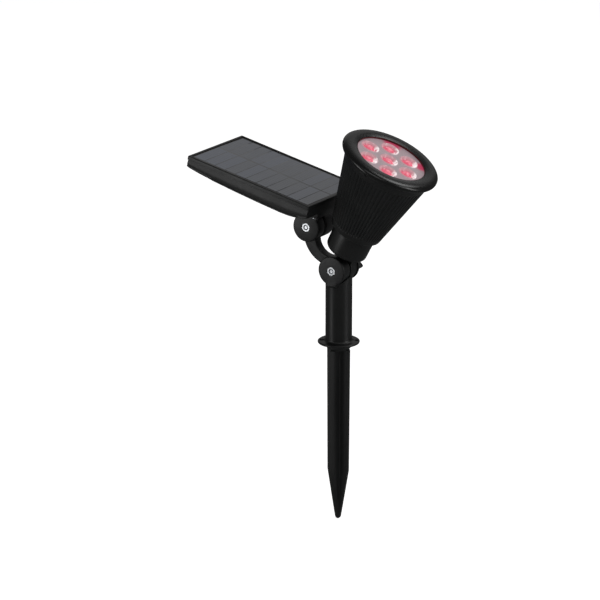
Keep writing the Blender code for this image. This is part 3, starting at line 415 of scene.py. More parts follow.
# monocrystalline silicon under clear epoxy: blue-black strips, each cut from another wafer, with silver fingers
def siliconCells():
    material, tree, shader = newFinish("siliconCells", "#16191f", 0.35)
    tone = addNode(tree, "ShaderNodeAttribute", attribute_name="cellTone").outputs["Fac"]
    own = addNode(tree, "ShaderNodeAttribute", attribute_name="ownPlace").outputs["Vector"]
    across = addNode(tree, "ShaderNodeSeparateXYZ", {"Vector": own}).outputs["Y"]
    # fingers are 0.1 mm wide and 1.8 mm apart; drawn 0.35 mm wide and faint, so that they show as one grey veil
    phase = addNode(tree, "ShaderNodeMath", {0: across, 1: 1.8}, operation="PINGPONG")
    finger = addNode(tree, "ShaderNodeMapRange", {"Value": phase, "From Min": 0.1, "From Max": 0.3,
                                                  "To Min": 0.16, "To Max": 0.0})
    base = blended(tree, tone, ("#252f42", "#333f56"))
    veined = addNode(tree, "ShaderNodeMix", {0: finger, 6: base, 7: linear("#8d949c")}, data_type="RGBA")
    ripple = addNode(tree, "ShaderNodeTexNoise", {"Vector": own, "Scale": 0.05, "Detail": 1.0})
    bump = addNode(tree, "ShaderNodeBump", {"Height": ripple, "Strength": 0.15, "Distance": 0.3 * mm})
    feed(tree, shader, {"Base Color": veined.outputs[2], "Coat Normal": bump, "Coat Weight": 1.0,
                        "Coat Roughness": 0.12})
    return material


# the dark laminate behind the cells, under the same epoxy
def epoxyBacking():
    material, tree, shader = grainedFinish("epoxyBacking", ("#08090b", "#0c0d10"), (0.30, 0.36), 0.6, 9.0,
                                           (0.05, 0.02), ior=1.55)
    feed(tree, shader, {"Coat Weight": 1.0, "Coat Roughness": 0.12})
    return material


paintedGlowHolder, pane, cupWall, dome = paintedGlowAbs(), clearPane(), collimatorWall(), litDome()
cells, backing = siliconCells(), epoxyBacking()
print("finishes: made")


def newTree(name, sockets):
    tree = bpy.data.node_groups.new(name, "GeometryNodeTree")
    tree.interface.new_socket("Geometry", in_out="INPUT", socket_type="NodeSocketGeometry")
    for label, kind in sockets:
        tree.interface.new_socket(label, in_out="INPUT", socket_type="NodeSocket" + kind)
    tree.interface.new_socket("Geometry", in_out="OUTPUT", socket_type="NodeSocketGeometry")
    source = addNode(tree, "NodeGroupInput")
    return tree, source.outputs


# every tree ends the same way: real geometry, with its finish
def closeTree(tree, geometry, material):
    real = addNode(tree, "GeometryNodeRealizeInstances", {"Geometry": geometry})
    coated = addNode(tree, "GeometryNodeSetMaterial", {"Geometry": real, "Material": material})
    addNode(tree, "NodeGroupOutput", {"Geometry": coated})
    return tree


# works out a sum in steps of (name, operation, what it works on); known holds the sockets and grows by each name
def workOut(tree, known, steps):
    for name, operation, *terms in steps:
        inputs = {index: known[term] if isinstance(term, str) else term for index, term in enumerate(terms)}
        known[name] = addNode(tree, "ShaderNodeMath", inputs, operation=operation).outputs[0]


# runs a tree on a form and gives back a plain mesh
def grown(tree, values, form=None):
    host = toObject(form or bmesh.new(), "host")
    step = host.modifiers.new("grow", "NODES")
    step.node_group = tree
    for item in tree.interface.items_tree:
        if item.in_out == "INPUT" and item.name in values:
            step[item.identifier] = values[item.name]
    mesh = bpy.data.meshes.new_from_object(host.evaluated_get(bpy.context.evaluated_depsgraph_get()))
    bpy.data.objects.remove(host)
    return mesh


# turns a profile about Z and presses flutes into the part of it that stands on the cone's crest
def flutedTree():
    sizes = ("Depth", "Foot", "Head", "Run Out", "Crest Radius", "Crest Slope")
    tree, given = newTree("flutedTurning", (("Flutes", "Int"), ("Facets", "Int"),
                                            *((size, "Float") for size in sizes), ("Material", "Material")))
    known = {label: given[label] for label in ("Flutes", "Facets", *sizes)}
    points = addNode(tree, "GeometryNodeAttributeDomainSize", {"Geometry": given["Geometry"]})
    known["rows"] = points.outputs["Point Count"]
    known["index"] = addNode(tree, "GeometryNodeInputIndex").outputs[0]
    workOut(tree, known, (
        ("around", "MULTIPLY", "Flutes", "Facets"), ("columns", "ADD", "around", 1.0),
        ("halfOn", "ADD", "index", 0.5), ("share", "DIVIDE", "halfOn", "rows"), ("column", "FLOOR", "share"),
        ("before", "MULTIPLY", "column", "rows"), ("row", "SUBTRACT", "index", "before")))
    grid = addNode(tree, "GeometryNodeMeshGrid", {"Vertices X": known["columns"], "Vertices Y": known["rows"]})
    place = addNode(tree, "GeometryNodeInputPosition")
    spot = addNode(tree, "GeometryNodeSampleIndex", {"Geometry": given["Geometry"], "Value": place,
                                                     "Index": known["row"]}, data_type="FLOAT_VECTOR")
    split = addNode(tree, "ShaderNodeSeparateXYZ", {"Vector": spot.outputs["Value"]})
    known["radius"], known["height"] = split.outputs["X"], split.outputs["Z"]
    workOut(tree, known, (
        ("crest", "MULTIPLY_ADD", "height", "Crest Slope", "Crest Radius"), ("skin", "SUBTRACT", "crest", 0.05),
        ("outside", "GREATER_THAN", "radius", "skin"), ("risen", "ADD", "Foot", "Run Out"),
        ("falling", "SUBTRACT", "Head", "Run Out"), ("flute", "DIVIDE", "column", "Facets"),
        ("turn", "PINGPONG", "flute", 0.5)))
    for name, value, low, high in (("rise", "height", known["Foot"], known["risen"]),
                                   ("fall", "height", known["Head"], known["falling"]),
                                   ("hollow", "turn", 0.12, 0.5)):
        known[name] = addNode(tree, "ShaderNodeMapRange", {
            "Value": known[value], "From Min": low, "From Max": high}, interpolation_type="SMOOTHSTEP").outputs[0]
    workOut(tree, known, (
        ("deep", "MULTIPLY", "hollow", "Depth"), ("ends", "MULTIPLY", "rise", "fall"),
        ("where", "MULTIPLY", "outside", "ends"), ("depth", "MULTIPLY", "deep", "where"),
        ("pressed", "SUBTRACT", "radius", "depth"), ("round", "DIVIDE", "column", "around"),
        ("angle", "MULTIPLY", "round", 2 * pi), ("cosine", "COSINE", "angle"), ("sine", "SINE", "angle"),
        ("x", "MULTIPLY", "pressed", "cosine"), ("y", "MULTIPLY", "pressed", "sine")))
    spread = addNode(tree, "ShaderNodeCombineXYZ", {"X": known["x"], "Y": known["y"], "Z": known["height"]})
    shape = addNode(tree, "GeometryNodeSetPosition", {"Geometry": grid, "Position": spread})
    welded = addNode(tree, "GeometryNodeMergeByDistance", {"Geometry": shape, "Distance": 0.002})
    return closeTree(tree, welded, given["Material"])


# puts a copy of an object on a ring of places and one in the middle
def clusterTree():
    tree, given = newTree("ringCluster", (
        ("Unit", "Object"), ("Round", "Int"), ("Pitch Radius", "Float"), ("Material", "Material")))
    ring = addNode(tree, "GeometryNodeMeshCircle", {"Vertices": given["Round"], "Radius": given["Pitch Radius"]})
    middle = addNode(tree, "GeometryNodeMeshLine", {"Count": 1})
    places = addNode(tree, "GeometryNodeJoinGeometry")
    for part in (ring, middle):
        tree.links.new(part.outputs[0], places.inputs[0])
    unit = addNode(tree, "GeometryNodeObjectInfo", {"Object": given["Unit"]}).outputs["Geometry"]
    copies = addNode(tree, "GeometryNodeInstanceOnPoints", {"Points": places, "Instance": unit})
    return closeTree(tree, copies, given["Material"])


# puts a copy of an object on each point of the host, each turned its own way
def scatterTree():
    tree, given = newTree("screwPlaces", (("Unit", "Object"), ("Turn Seed", "Int"), ("Material", "Material")))
    unit = addNode(tree, "GeometryNodeObjectInfo", {"Object": given["Unit"]}).outputs["Geometry"]
    turn = addNode(tree, "FunctionNodeRandomValue", {3: 2 * pi, "Seed": given["Turn Seed"]}, data_type="FLOAT")
    spun = addNode(tree, "ShaderNodeCombineXYZ", {"Z": turn.outputs[1]})
    copies = addNode(tree, "GeometryNodeInstanceOnPoints", {"Points": given["Geometry"], "Instance": unit,
                                                            "Rotation": spun})
    return closeTree(tree, copies, given["Material"])


# a grid of thin cells with a gap between them, each with its own tone
def cellTree():
    tree, given = newTree("cellGrid", (
        ("Columns", "Int"), ("Rows", "Int"), ("Length", "Float"), ("Width", "Float"), ("Gap", "Float"),
        ("Middle Gap", "Float"), ("Thickness", "Float"), ("Seed", "Int"), ("Material", "Material")))
    known = {label: given[label] for label in ("Columns", "Rows", "Length", "Width", "Gap", "Middle Gap")}
    workOut(tree, known, (
        ("pitchX", "DIVIDE", "Length", "Columns"), ("pitchY", "DIVIDE", "Width", "Rows"),
        ("spanX", "SUBTRACT", "Length", "pitchX"), ("spanY", "SUBTRACT", "Width", "pitchY"),
        ("cellX", "SUBTRACT", "pitchX", "Gap"), ("cellY", "SUBTRACT", "pitchY", "Middle Gap")))
    grid = addNode(tree, "GeometryNodeMeshGrid", {
        "Size X": known["spanX"], "Size Y": known["spanY"], "Vertices X": given["Columns"],
        "Vertices Y": given["Rows"]})
    size = addNode(tree, "ShaderNodeCombineXYZ", {"X": known["cellX"], "Y": known["cellY"],
                                                  "Z": given["Thickness"]})
    cell = addNode(tree, "GeometryNodeMeshCube", {"Size": size})
    tone = addNode(tree, "FunctionNodeRandomValue", {"Seed": given["Seed"]}, data_type="FLOAT")
    copies = addNode(tree, "GeometryNodeInstanceOnPoints", {"Points": grid, "Instance": cell})
    toned = addNode(tree, "GeometryNodeStoreNamedAttribute", {
        "Geometry": copies, "Name": "cellTone", "Value": tone.outputs[1]}, data_type="FLOAT", domain="INSTANCE")
    return closeTree(tree, toned, given["Material"])


flutedTurning, ringCluster, screwPlaces, cellGrid = flutedTree(), clusterTree(), scatterTree(), cellTree()
print("node trees: made")


spike = {
    "plugRadius": 8.7, "plugTop": 22.0, "collarRadius": 11.1, "collarFoot": -5.2, "neckRadius": 9.9,
    "half": 2.6, "reachTop": 10.6, "reachShoulder": 9.9, "shoulder": -118.5, "edge": 0.7, "corner": 1.6,
    "midway": (-60.0, 10.28), "point": ((-158.7, 3.1, 1.8), (-162.6, 2.4, 1.55), (-163.9, 1.95, 1.25),
                                        (-164.7, 1.0, 0.6)),
}


# a cross of four blades with rounded edges and rounded inner corners
def crossSection(reach, half, edge, corner):
    points = []
    for quarter in range(4):
        turn = Matrix.Rotation(quarter * pi / 2, 2)
        corners = ((reach, -half, edge), (reach, half, edge), (half, half, corner))
        points += [(*(turn @ Vector(spot[:2])), spot[2]) for spot in corners]
    return roundedLine(points, 5)


def spikeForm():
    top, half, shoulder, low = spike["reachTop"], spike["half"], spike["shoulder"], spike["collarFoot"]
    narrow = spike["reachShoulder"]
    stations = (  # height, reach of a blade, half its thickness
        (low, top - 0.9, half - 0.5), (low - 0.15, top - 0.35, half - 0.2), (low - 0.6, top, half),
        (low - 1.8, top, half), (*spike["midway"], half), (shoulder + 3, narrow + 0.02, half),
        (shoulder, narrow, half), (shoulder - 2, narrow - 0.32, half - 0.04), *spike["point"])
    outlines = []
    for height, reach, half in stations:
        edge = min(spike["edge"], half * 0.45)
        section = crossSection(reach, half, edge, min(spike["corner"], (reach - half) * 0.6))
        outlines.append([(x, y, height) for x, y in section])
    collar = turned(roundedLine([
        (0, spike["plugTop"], 0), (spike["plugRadius"], spike["plugTop"], 1.2), (spike["plugRadius"], -0.3, 0),
        (spike["collarRadius"], -0.3, 0.3), (spike["collarRadius"] - 0.1, -3.6, 0.6),
        (spike["neckRadius"], low, 0.2), (0, low - 0.4, 0)]), 96)
    return shaped(lofted(outlines), joins(collar))


finishPiece("spikeBlades", spikeForm(), groundPlace, "spike", flowPolypropylene, ["ground_spike"])
print("spike: made")


post = {
    "radius": 11.75, "bore": 9.0, "boreTop": 45.0, "flangeRadius": 18.5, "flangeThick": 2.1, "fillet": 2.0,
    "knuckleHeight": 68.0, "saddle": 13.3, "hole": 1.7, "holePitch": 15.0,
    "holeTurn": 28.0, "top": -6.0,
}
knuckle = {
    "ear": 13.1, "earOut": 13.6, "earIn": 11.1, "rim": 1.4, "register": 7.5, "registerDepth": 1.7, "gusset": 5.2,
    "bolt": 2.3, "pocket": 7.6, "pocketDepth": 3.0,
}


def hexagon(flats, low, high, rim=0.0):
    outline = [(flats / sqrt(3) * cos(pi / 2 + step * pi / 3), flats / sqrt(3) * sin(pi / 2 + step * pi / 3))
               for step in range(6)]
    return plate(outline, low, high, rim, 2)


# the wedge that carries an ear down onto the post
def gusset(side):
    outer, inner, root = side * knuckle["earOut"], side * knuckle["earIn"], side * 7.0
    outline = [(outer, -8.0), (outer, -13.2), (inner, -16.0), (root, -16.0), (root, -8.0)]
    form = plate(outline, -knuckle["gusset"], knuckle["gusset"])
    bmesh.ops.rotate(form, verts=form.verts, cent=(0, 0, 0), matrix=Matrix.Rotation(pi / 2, 3, "Z"))
    upright = [edge for edge in form.edges if abs(edge.verts[0].co.x - edge.verts[1].co.x) < 0.01
               and abs(edge.verts[0].co.y) > 12 and abs(edge.verts[1].co.y) > 12]
    bmesh.ops.bevel(form, geom=upright, offset=0.8, segments=3, profile=0.5, affect="EDGES")
    return form


# the round boss inside the front ear, which the link's eye fits over
def registerBoss():
    return drum(knuckle["register"], -knuckle["earIn"] - 0.5, -knuckle["earIn"] + knuckle["registerDepth"])


# what is cut from a knuckle: the bolt's bore through both ears, and the pocket for the nut in front
def clampCuts():
    bore = drum(knuckle["bolt"], -16, 16, around=40)
    pocket = hexagon(knuckle["pocket"], -knuckle["earOut"] - 1, -knuckle["earOut"] + knuckle["pocketDepth"])
    return cuts(bore, pocket)


def postForm():
    low = -post["knuckleHeight"]  # the ground line, from the knuckle
    rim, top = low + post["flangeThick"], post["top"]
    body = turned(roundedLine([
        (0, top, 0), (post["radius"], top, 0), (post["radius"], rim, post["fillet"]),
        (post["flangeRadius"], rim, 0.9), (post["flangeRadius"], low, 1.0), (post["bore"] + 0.5, low, 0),
        (post["bore"], low + 0.5, 0), (post["bore"], low + 24.0, 0), (post["bore"] - 0.8, low + 24.8, 0),
        (post["bore"] - 0.8, low + post["boreTop"], 0), (0, low + post["boreTop"], 0)], 7), 120)
    front = drum(knuckle["ear"], -knuckle["earOut"], -knuckle["earIn"], rimLow=knuckle["rim"], around=120)
    rear = drum(knuckle["ear"], knuckle["earIn"], knuckle["earOut"], rimHigh=knuckle["rim"], around=120)
    saddle = drum(post["saddle"], -knuckle["earIn"], knuckle["earIn"], around=120)
    work = joins(gusset(-1), gusset(1)) + cuts(saddle) + joins(front, registerBoss(), rear) + clampCuts()
    for turn in (0, 180):
        azimuth = radians(post["holeTurn"] + turn)
        at = (post["holePitch"] * cos(azimuth), post["holePitch"] * sin(azimuth))
        sink = [(0, rim + 1), (3.5, rim + 1), (2.75, rim + 0.05), (2.55, rim - 0.2), (post["hole"], low + 1.1),
                (post["hole"], low - 1), (0, low - 1)]
        work += cuts(turned(sink, 40, at=at))
    return shaped(body, work)


finishPiece("postTube", postForm(), postPlace, "post", satinAbs, ["post"])
print("post: made")


clamp = {
    "boltRadius": 2.0, "threadPitch": 0.7, "nutFlats": 7.0, "nutThick": 2.7, "washer": 5.0,
    "washerY": (13.9, 14.7), "wingY": (15.0, 21.0), "wingReach": 13.0, "wingHalf": 6.2,
}


# a nut with its corners turned off at 30 degrees and a threaded-looking mouth
def nutForm():
    low, high = -knuckle["earOut"], -knuckle["earOut"] + clamp["nutThick"]
    corner = clamp["nutFlats"] / sqrt(3)
    lathe = turned([(0, high), (corner - 0.35, high), (corner + 0.1, high - 0.3), (corner + 0.1, low + 0.3),
                    (corner - 0.35, low), (0, low)], 60, alongY=True)
    hole = clamp["boltRadius"] + 0.05
    mouth = turned([(0, high + 1), (hole, high + 1), (hole, low + 0.35), (2.5, low), (2.5, low - 1),
                    (0, low - 1)], 40, alongY=True)
    return shaped(hexagon(clamp["nutFlats"], low, high), [("INTERSECT", lathe), *cuts(mouth)])


# the bolt: thread ridges where it shows in the nut, and a plain shank behind
def boltForm():
    low, high = -knuckle["earOut"] + 0.3, clamp["wingY"][1] - 2.0
    radius, pitch = clamp["boltRadius"], clamp["threadPitch"]
    ridge = []
    for turn in range(5):
        ridge += [(radius, low + 0.55 + pitch * turn), (radius - 0.25, low + 0.9 + pitch * turn)]
    profile = [(0, low + 0.02), (1.35, low), (1.65, low + 0.25)] + ridge
    profile += [(radius, low + 4.4), (radius, high), (0, high)]
    return turned(profile[::-1], 48, alongY=True)


# a knob of two arcs meeting in a point at each end, thicker at its hub
def wingForm(turnBy):
    reach, half = clamp["wingReach"], clamp["wingHalf"]
    radius = (reach ** 2 + half ** 2) / (2 * half)
    spread = atan2(reach, radius - half)
    upper = arc((0.0, half - radius), radius, pi / 2 - spread, pi / 2 + spread, 20)
    lower = arc((0.0, radius - half), radius, -pi / 2 - spread, -pi / 2 + spread, 20)
    outline = []
    for x, z in upper[:-1] + lower[:-1]:
        outline.append((x * cos(turnBy) - z * sin(turnBy), x * sin(turnBy) + z * cos(turnBy)))
    low, high = clamp["wingY"]
    blade = plate(outline, low, high, 1.1, 4)
    bore = drum(knuckle["bolt"], low - 1, high - 1.7, around=40)
    dish = turned([(0, high + 1), (3.2, high + 1), (2.6, high - 0.5), (0, high - 0.5)], 48, alongY=True)
    return shaped(blade, cuts(bore, dish))


for side, place, holder, turner, turnBy in (("lower", postPlace, "post", "lower_bolt", radians(-7)),
                                            ("upper", panelPlace, "panel", "upper_bolt", radians(60))):
    finishPiece(side + "HexNut", nutForm(), place, holder, zincSteel, [side + "_hex_nut"], 20)
    finishPiece(side + "ClampBolt", boltForm(), place, turner, zincSteel, [side + "_clamp_bolt"],
                25)
    low, high = clamp["washerY"]
    washer = turned(roundedLine([
        (clamp["washer"], high, 0.15), (clamp["washer"], low, 0.15), (knuckle["bolt"], low, 0),
        (knuckle["bolt"], high, 0)], 3), 72, alongY=True)
    finishPiece(side + "PlainWasher", washer, place, turner, zincSteel, [side + "_plain_washer"])
    finishPiece(side + "WingHead", wingForm(turnBy), place, turner, satinAbs, [side + "_wing_head"])
print("clamps: made")


link = {
    "eye": 12.4, "y": (-10.8, -1.5), "upper": (-25.7, 35.9), "rim": 0.9,
    "outer": ((-1.6, 31.6), 28.4), "inner": ((-2.65, 26.8), 14.6),
}


def crossings(first, second):
    (ax, az), ra = first
    (bx, bz), rb = second
    apart = hypot(bx - ax, bz - az)
    along = (ra * ra - rb * rb + apart * apart) / (2 * apart)
    aside = sqrt(ra * ra - along * along)
    ux, uz = (bx - ax) / apart, (bz - az) / apart
    return [(ax + along * ux - side * aside * uz, az + along * uz + side * aside * ux) for side in (1, -1)]


def bearing(centre, point):
    return atan2(point[1] - centre[1], point[0] - centre[0])


def linkForm():
    lower, upper = ((0.0, 0.0), link["eye"]), (link["upper"], link["eye"])
    outer, inner = link["outer"], link["inner"]
    outerTop = min(crossings(upper, outer), key=lambda point: point[1])
    outerFoot = min(crossings(lower, outer), key=lambda point: point[0])
    innerFoot = min(crossings(lower, inner), key=lambda point: point[0])
    innerTop = min(crossings(upper, inner), key=lambda point: point[1])
    whole = 2 * pi
    outline = arc(*outer, bearing(outer[0], outerTop) % whole, bearing(outer[0], outerFoot) % whole, 30)[:-1]
    outline += arc(*lower, bearing(lower[0], outerFoot), bearing(lower[0], innerFoot) + whole, 60)[:-1]
    outline += arc(*inner, bearing(inner[0], innerFoot) % whole, bearing(inner[0], innerTop) % whole, 24)[:-1]
    outline += arc(*upper, bearing(upper[0], innerTop), bearing(upper[0], outerTop) % whole, 60)[:-1]
    low, high = link["y"]
    work = []
    for eye in (lower[0], upper[0]):
        work += cuts(drum(knuckle["bolt"], -14, 2, around=40, at=eye),
                     drum(knuckle["register"] + 0.4, -14, -9.1, around=72, at=eye))
    return shaped(plate(outline, low, high, link["rim"], 5), work)


finishPiece("curvedLink", linkForm(), postPlace, "link", satinAbs, ["pivot_link"], 28)
print("link: made")


lamp = {
    "capBottom": 17.6, "capTop": 38.6, "capRadii": (18.4, 18.9), "capFillet": 3.2, "capInner": 14.2,
    "tenon": 16.1, "tenonTop": 43.5, "lug": 12.4, "lugY": (0.0, 10.8), "neckHalf": 8.5, "coneBottom": 39.9,
    "coneTop": 111.3, "coneRadius": 39.96, "coneSlope": 0.2412, "floorHole": 16.4, "wall": 2.9,
    "flutes": 60, "facets": 12, "fluteDepth": 0.9, "fluteFoot": 44.6, "fluteHead": 106.2, "runOut": 2.6,
    "spigot": (34.7, 36.4), "spigotTop": 114.2, "ledge": (96.6, 99.2), "seatRadius": 34.8, "seatTop": 116.3,
    "notchTurn": -89.0, "notchHeight": (109.2, 111.2), "notchHalf": 1.3, "notchFloor": 38.6,
}


# a round ear with a neck going up to neckEnd
def earOutline(radius, neckHalf, neckEnd):
    turnIn = acos(neckHalf / radius)
    return arc((0, 0), radius, turnIn, -pi - turnIn, 72) + [(-neckHalf, neckEnd), (neckHalf, neckEnd)]


def lampBaseForm():
    low, high = lamp["capBottom"], lamp["capTop"]
    narrow, wide = lamp["capRadii"]
    cap = turned(roundedLine([
        (wide, high, 0.4), (narrow, low, lamp["capFillet"]), (0, low, 0), (0, low + 2.4, 0),
        (lamp["capInner"], low + 2.4, 0), (lamp["capInner"], lamp["tenonTop"], 0),
        (lamp["tenon"], lamp["tenonTop"], 0.4), (lamp["tenon"], high, 0)], 8), 120,
        at=(tilts["lampAxisShift"], 0.0))
    lug = plate(earOutline(lamp["lug"], lamp["neckHalf"], low + 1.2), *lamp["lugY"], 0.5, 3)
    bolt = drum(knuckle["bolt"], -2, 12, around=40)
    return shaped(cap, joins(lug) + cuts(bolt))


finishPiece("lampBase", lampBaseForm(), lugPlace, "lamp", satinAbs, ["lamp_base"])


def crest(height):
    return lamp["coneRadius"] + lamp["coneSlope"] * (height - lamp["coneTop"])


# the housing's profile, all the way round its wall, with rows where the flutes start and end
def housingProfile():
    bottom, top, run = lamp["coneBottom"], lamp["coneTop"], lamp["runOut"]
    foot, head = lamp["fluteFoot"], lamp["fluteHead"]
    heights = [head + 1.5] + [head - run * step / 5 for step in range(6)]
    heights += [head - run - 14 * step for step in range(1, 5) if head - run - 14 * step > foot + run]
    heights += [foot + run * (5 - step) / 5 for step in range(6)]
    wall = [(crest(height), height) for height in heights]
    hole = lamp["floorHole"]
    lowEdge = roundedLine([(crest(bottom + 4), bottom + 4, 0), (crest(bottom), bottom, 1.4), (hole, bottom, 0)],
                          6, closed=False)
    within, without = lamp["spigot"]
    topEdge = roundedLine([(without, top, 0), (lamp["coneRadius"], top, 0.3), (crest(top - 3), top - 3, 0)], 4,
                          closed=False)
    floor, ledge = bottom + 2.4, lamp["ledge"]
    inner = [(hole, floor), (crest(floor) - lamp["wall"], floor), (crest(ledge[0]) - lamp["wall"], ledge[0]),
             (31.2, ledge[0] + 0.6), (31.2, ledge[1]), (33.0, ledge[1]), (33.0, top), (within, top),
             (within, lamp["spigotTop"]), (without, lamp["spigotTop"])]
    return topEdge + wall + lowEdge + inner + topEdge[:1]


profileForm = bmesh.new()
for radius, height in housingProfile():
    profileForm.verts.new((radius, 0.0, height))
housingMesh = grown(flutedTurning, {
    "Flutes": lamp["flutes"], "Facets": lamp["facets"], "Depth": lamp["fluteDepth"], "Foot": lamp["fluteFoot"],
    "Head": lamp["fluteHead"], "Run Out": lamp["runOut"], "Crest Slope": lamp["coneSlope"],
    "Crest Radius": lamp["coneRadius"] - lamp["coneSlope"] * lamp["coneTop"], "Material": satinAbs}, profileForm)
housingForm = bmesh.new()
housingForm.from_mesh(housingMesh)
bmesh.ops.recalc_face_normals(housingForm, faces=housingForm.faces)
notch = block((lamp["notchFloor"], -lamp["notchHalf"], lamp["notchHeight"][0]),
              (42.0, lamp["notchHalf"], lamp["notchHeight"][1]))
bmesh.ops.rotate(notch, verts=notch.verts, cent=(0, 0, 0),
                 matrix=Matrix.Rotation(radians(lamp["notchTurn"]), 3, "Z"))
housingForm = shaped(housingForm, cuts(notch))
finishPiece("flutedHousing", housingForm, lampPlace, "lamp", satinAbs, ["lamp_housing"], 50)
print("housing: made")

bezel = {
    "outline": ((40.2, 111.5), (42.6, 111.85), (43.85, 113.0), (44.2, 114.4), (43.8, 115.7), (42.6, 116.8),
                (40.8, 117.5), (38.5, 117.85), (36.0, 117.85), (33.5, 117.45), (31.7, 117.05)),
    "lip": (31.4, 116.3), "skirtRadius": 36.6, "skirtTop": 114.5,
}


def bezelForm():
    outside = splineLine(bezel["outline"], 5)[::-1]
    foot = bezel["outline"][0][1]
    inside = [(bezel["skirtRadius"], foot), (bezel["skirtRadius"], bezel["skirtTop"]),
              (lamp["seatRadius"], bezel["skirtTop"]), (lamp["seatRadius"], lamp["seatTop"]), bezel["lip"]]
    return turned(outside + inside, 180)


finishPiece("bezelRing", bezelForm(), lampPlace, "lamp", glossAbs, ["lamp_bezel"], 40)
# the seal's bead stands level with the lip, so it draws a thin line round the opening
glazing = {"radius": 34.5, "sealFoot": 115.5, "sealTop": 116.2, "beadTop": 116.9, "beadInner": 31.15,
           "paneThick": 0.3}
edge, beadTop, inner = glazing["radius"], glazing["beadTop"], glazing["beadInner"]
sealRing = turned([(edge, glazing["sealTop"]), (edge, glazing["sealFoot"]), (inner, glazing["sealFoot"]),
                   (inner, beadTop - 0.1), (inner + 0.05, beadTop), (inner + 0.15, beadTop),
                   (inner + 0.2, beadTop - 0.1), (inner + 0.2, glazing["sealTop"])], 144)
finishPiece("sealRing", sealRing, lampPlace, "lamp", redSilicone, ["window_seal"])
paneTop, paneFoot = glazing["sealFoot"], glazing["sealFoot"] - glazing["paneThick"]
windowForm = turned(roundedLine([(0, paneTop, 0), (edge, paneTop, 0.1), (edge, paneFoot, 0.1), (0, paneFoot, 0)],
                                3), 144)
finishPiece("windowPane", windowForm, lampPlace, "lamp", pane, ["front_window"])

optic = {
    "round": 6, "pitch": 20.6, "rim": 8.2, "throat": 4.9, "holderTop": 114.3, "lensTop": 115.1, "hole": 8.3,
    "holderUnder": 111.4, "skirt": (31.2, 32.7), "skirtFoot": 101.5,
    "throatZ": 110.8, "domeRadius": 4.8, "domeBase": 111.3, "domeRise": 3.4, "brightTurn": 15.0,
    "shift": (-1.5, 0.1),
}


# the holder plate with a hole for each collimator, and its skirt
def holderForm():
    top = optic["holderTop"]
    under, foot = optic["holderUnder"], optic["skirtFoot"]
    skirtIn, skirtOut = optic["skirt"]
    body = turned(roundedLine([
        (0, top, 0), (34.4, top, 0.3), (34.4, under, 0), (skirtOut, under, 0), (skirtOut, foot, 0),
        (skirtIn, foot, 0), (skirtIn, under, 0), (0, under, 0)], 3), 96)
    ring = arc(optic["shift"], optic["pitch"], 0.0, 2 * pi, optic["round"])[:-1]
    return shaped(body, cuts(*[pin(optic["hole"], top - 5, top + 2, 40, at=at) for at in (optic["shift"], *ring)]))


finishPiece("lensHolder", holderForm(), lampPlace, "lamp", paintedGlowHolder, ["lens_holder"])


# one collimator: a funnel, bright with painted glow, with a rolled rim; cupHeight runs from its throat, 0, to its
# rim, 1
def collimatorUnit():
    rim, throat, top, low = optic["rim"], optic["throat"], optic["lensTop"], optic["throatZ"]
    inside = [(throat * 0.9, low + 0.2), (throat + 0.7, low + 1.3), (throat + 1.6, low + 2.6),
              (rim - 0.9, top - 0.35)]
    outside = [(rim - 0.45, top), (rim, top - 0.35), (rim, top - 1.0), (rim - 0.9, low + 0.6), (throat, 103.0)]
    return turned(outside[::-1] + inside[::-1], 48)


# cupHeight runs up the unit, and the painted highlight's side attribute runs round it: 1 on the side that throws
# the light back and takes the painted highlight, -1 opposite
def cupHeights(form, low, high):
    mesh = toMesh(form, "unit")
    heights = mesh.attributes.new("cupHeight", "FLOAT", "POINT")
    heights.data.foreach_set("value", [min(max((v.co.z - low) / (high - low), 0), 1) for v in mesh.vertices])
    bright = radians(optic["brightTurn"])
    sides = mesh.attributes.new("glintSide", "FLOAT", "POINT")
    sides.data.foreach_set("value", [cos(atan2(v.co.y, v.co.x) - bright) for v in mesh.vertices])
    return toScene("unit", mesh)


def domeUnit():
    radius, base, rise = optic["domeRadius"], optic["domeBase"], optic["domeRise"]
    rows = [(radius * sin(step * pi / 16), base + rise * cos(step * pi / 16)) for step in range(9)]
    return turned([(0, base + rise)] + rows[1:] + [(radius, base - 1.2), (0, base - 1.2)], 40)


for name, form, low, high, material, nodes, slotName in (
        ("collimatorCups", collimatorUnit(), optic["throatZ"], optic["lensTop"], cupWall,
         ["collimator_%d" % number for number in range(1, 8)], "clear_pc"),
        ("litDomes", domeUnit(), optic["domeBase"], optic["domeBase"] + optic["domeRise"], dome,
         ["led_%d" % number for number in range(1, 8)], "led_red")):
    unit = cupHeights(form, low, high)
    cluster = grown(ringCluster, {"Unit": unit, "Round": optic["round"], "Pitch Radius": optic["pitch"],
                                  "Material": material})
    bpy.data.objects.remove(unit)
    cluster.transform(Matrix.Translation((*optic["shift"], 0.0)))
    finishPiece(name, cluster, lampPlace, "lamp", material, nodes)
print("lamp head: made")


panel = {
    "length": 126.7, "width": 87.8, "centre": -48.9, "top": 32.5, "rimWidth": 2.7, "rimFoot": 28.9,
    "trayTop": 28.6, "trayFloor": 21.5, "inset": 0.6, "coverFrom": -46.0, "coverTo": 41.5, "coverThick": 1.6,
    "belly": ((-63.35, 9.7), (-60.0, 10.8), (-50.0, 12.0), (-35.0, 13.2), (-10.0, 14.4), (15.0, 15.2),
              (36.0, 15.6), (45.0, 15.3), (54.0, 14.1), (60.0, 12.7), (63.35, 11.5)),
    "button": (-62.0, 4.6), "notches": (-70.5, -17.0), "notchHalf": 1.8, "lip": (-86.4, 5.7), "coverHalf": 41.9,
}


def bellyDepth(along):
    rows = panel["belly"]
    along = min(max(along, rows[0][0]), rows[-1][0])
    for (x0, d0), (x1, d1) in zip(rows, rows[1:]):
        if along <= x1:
            return d0 + (d1 - d0) * (along - x0) / (x1 - x0)
    return rows[-1][1]


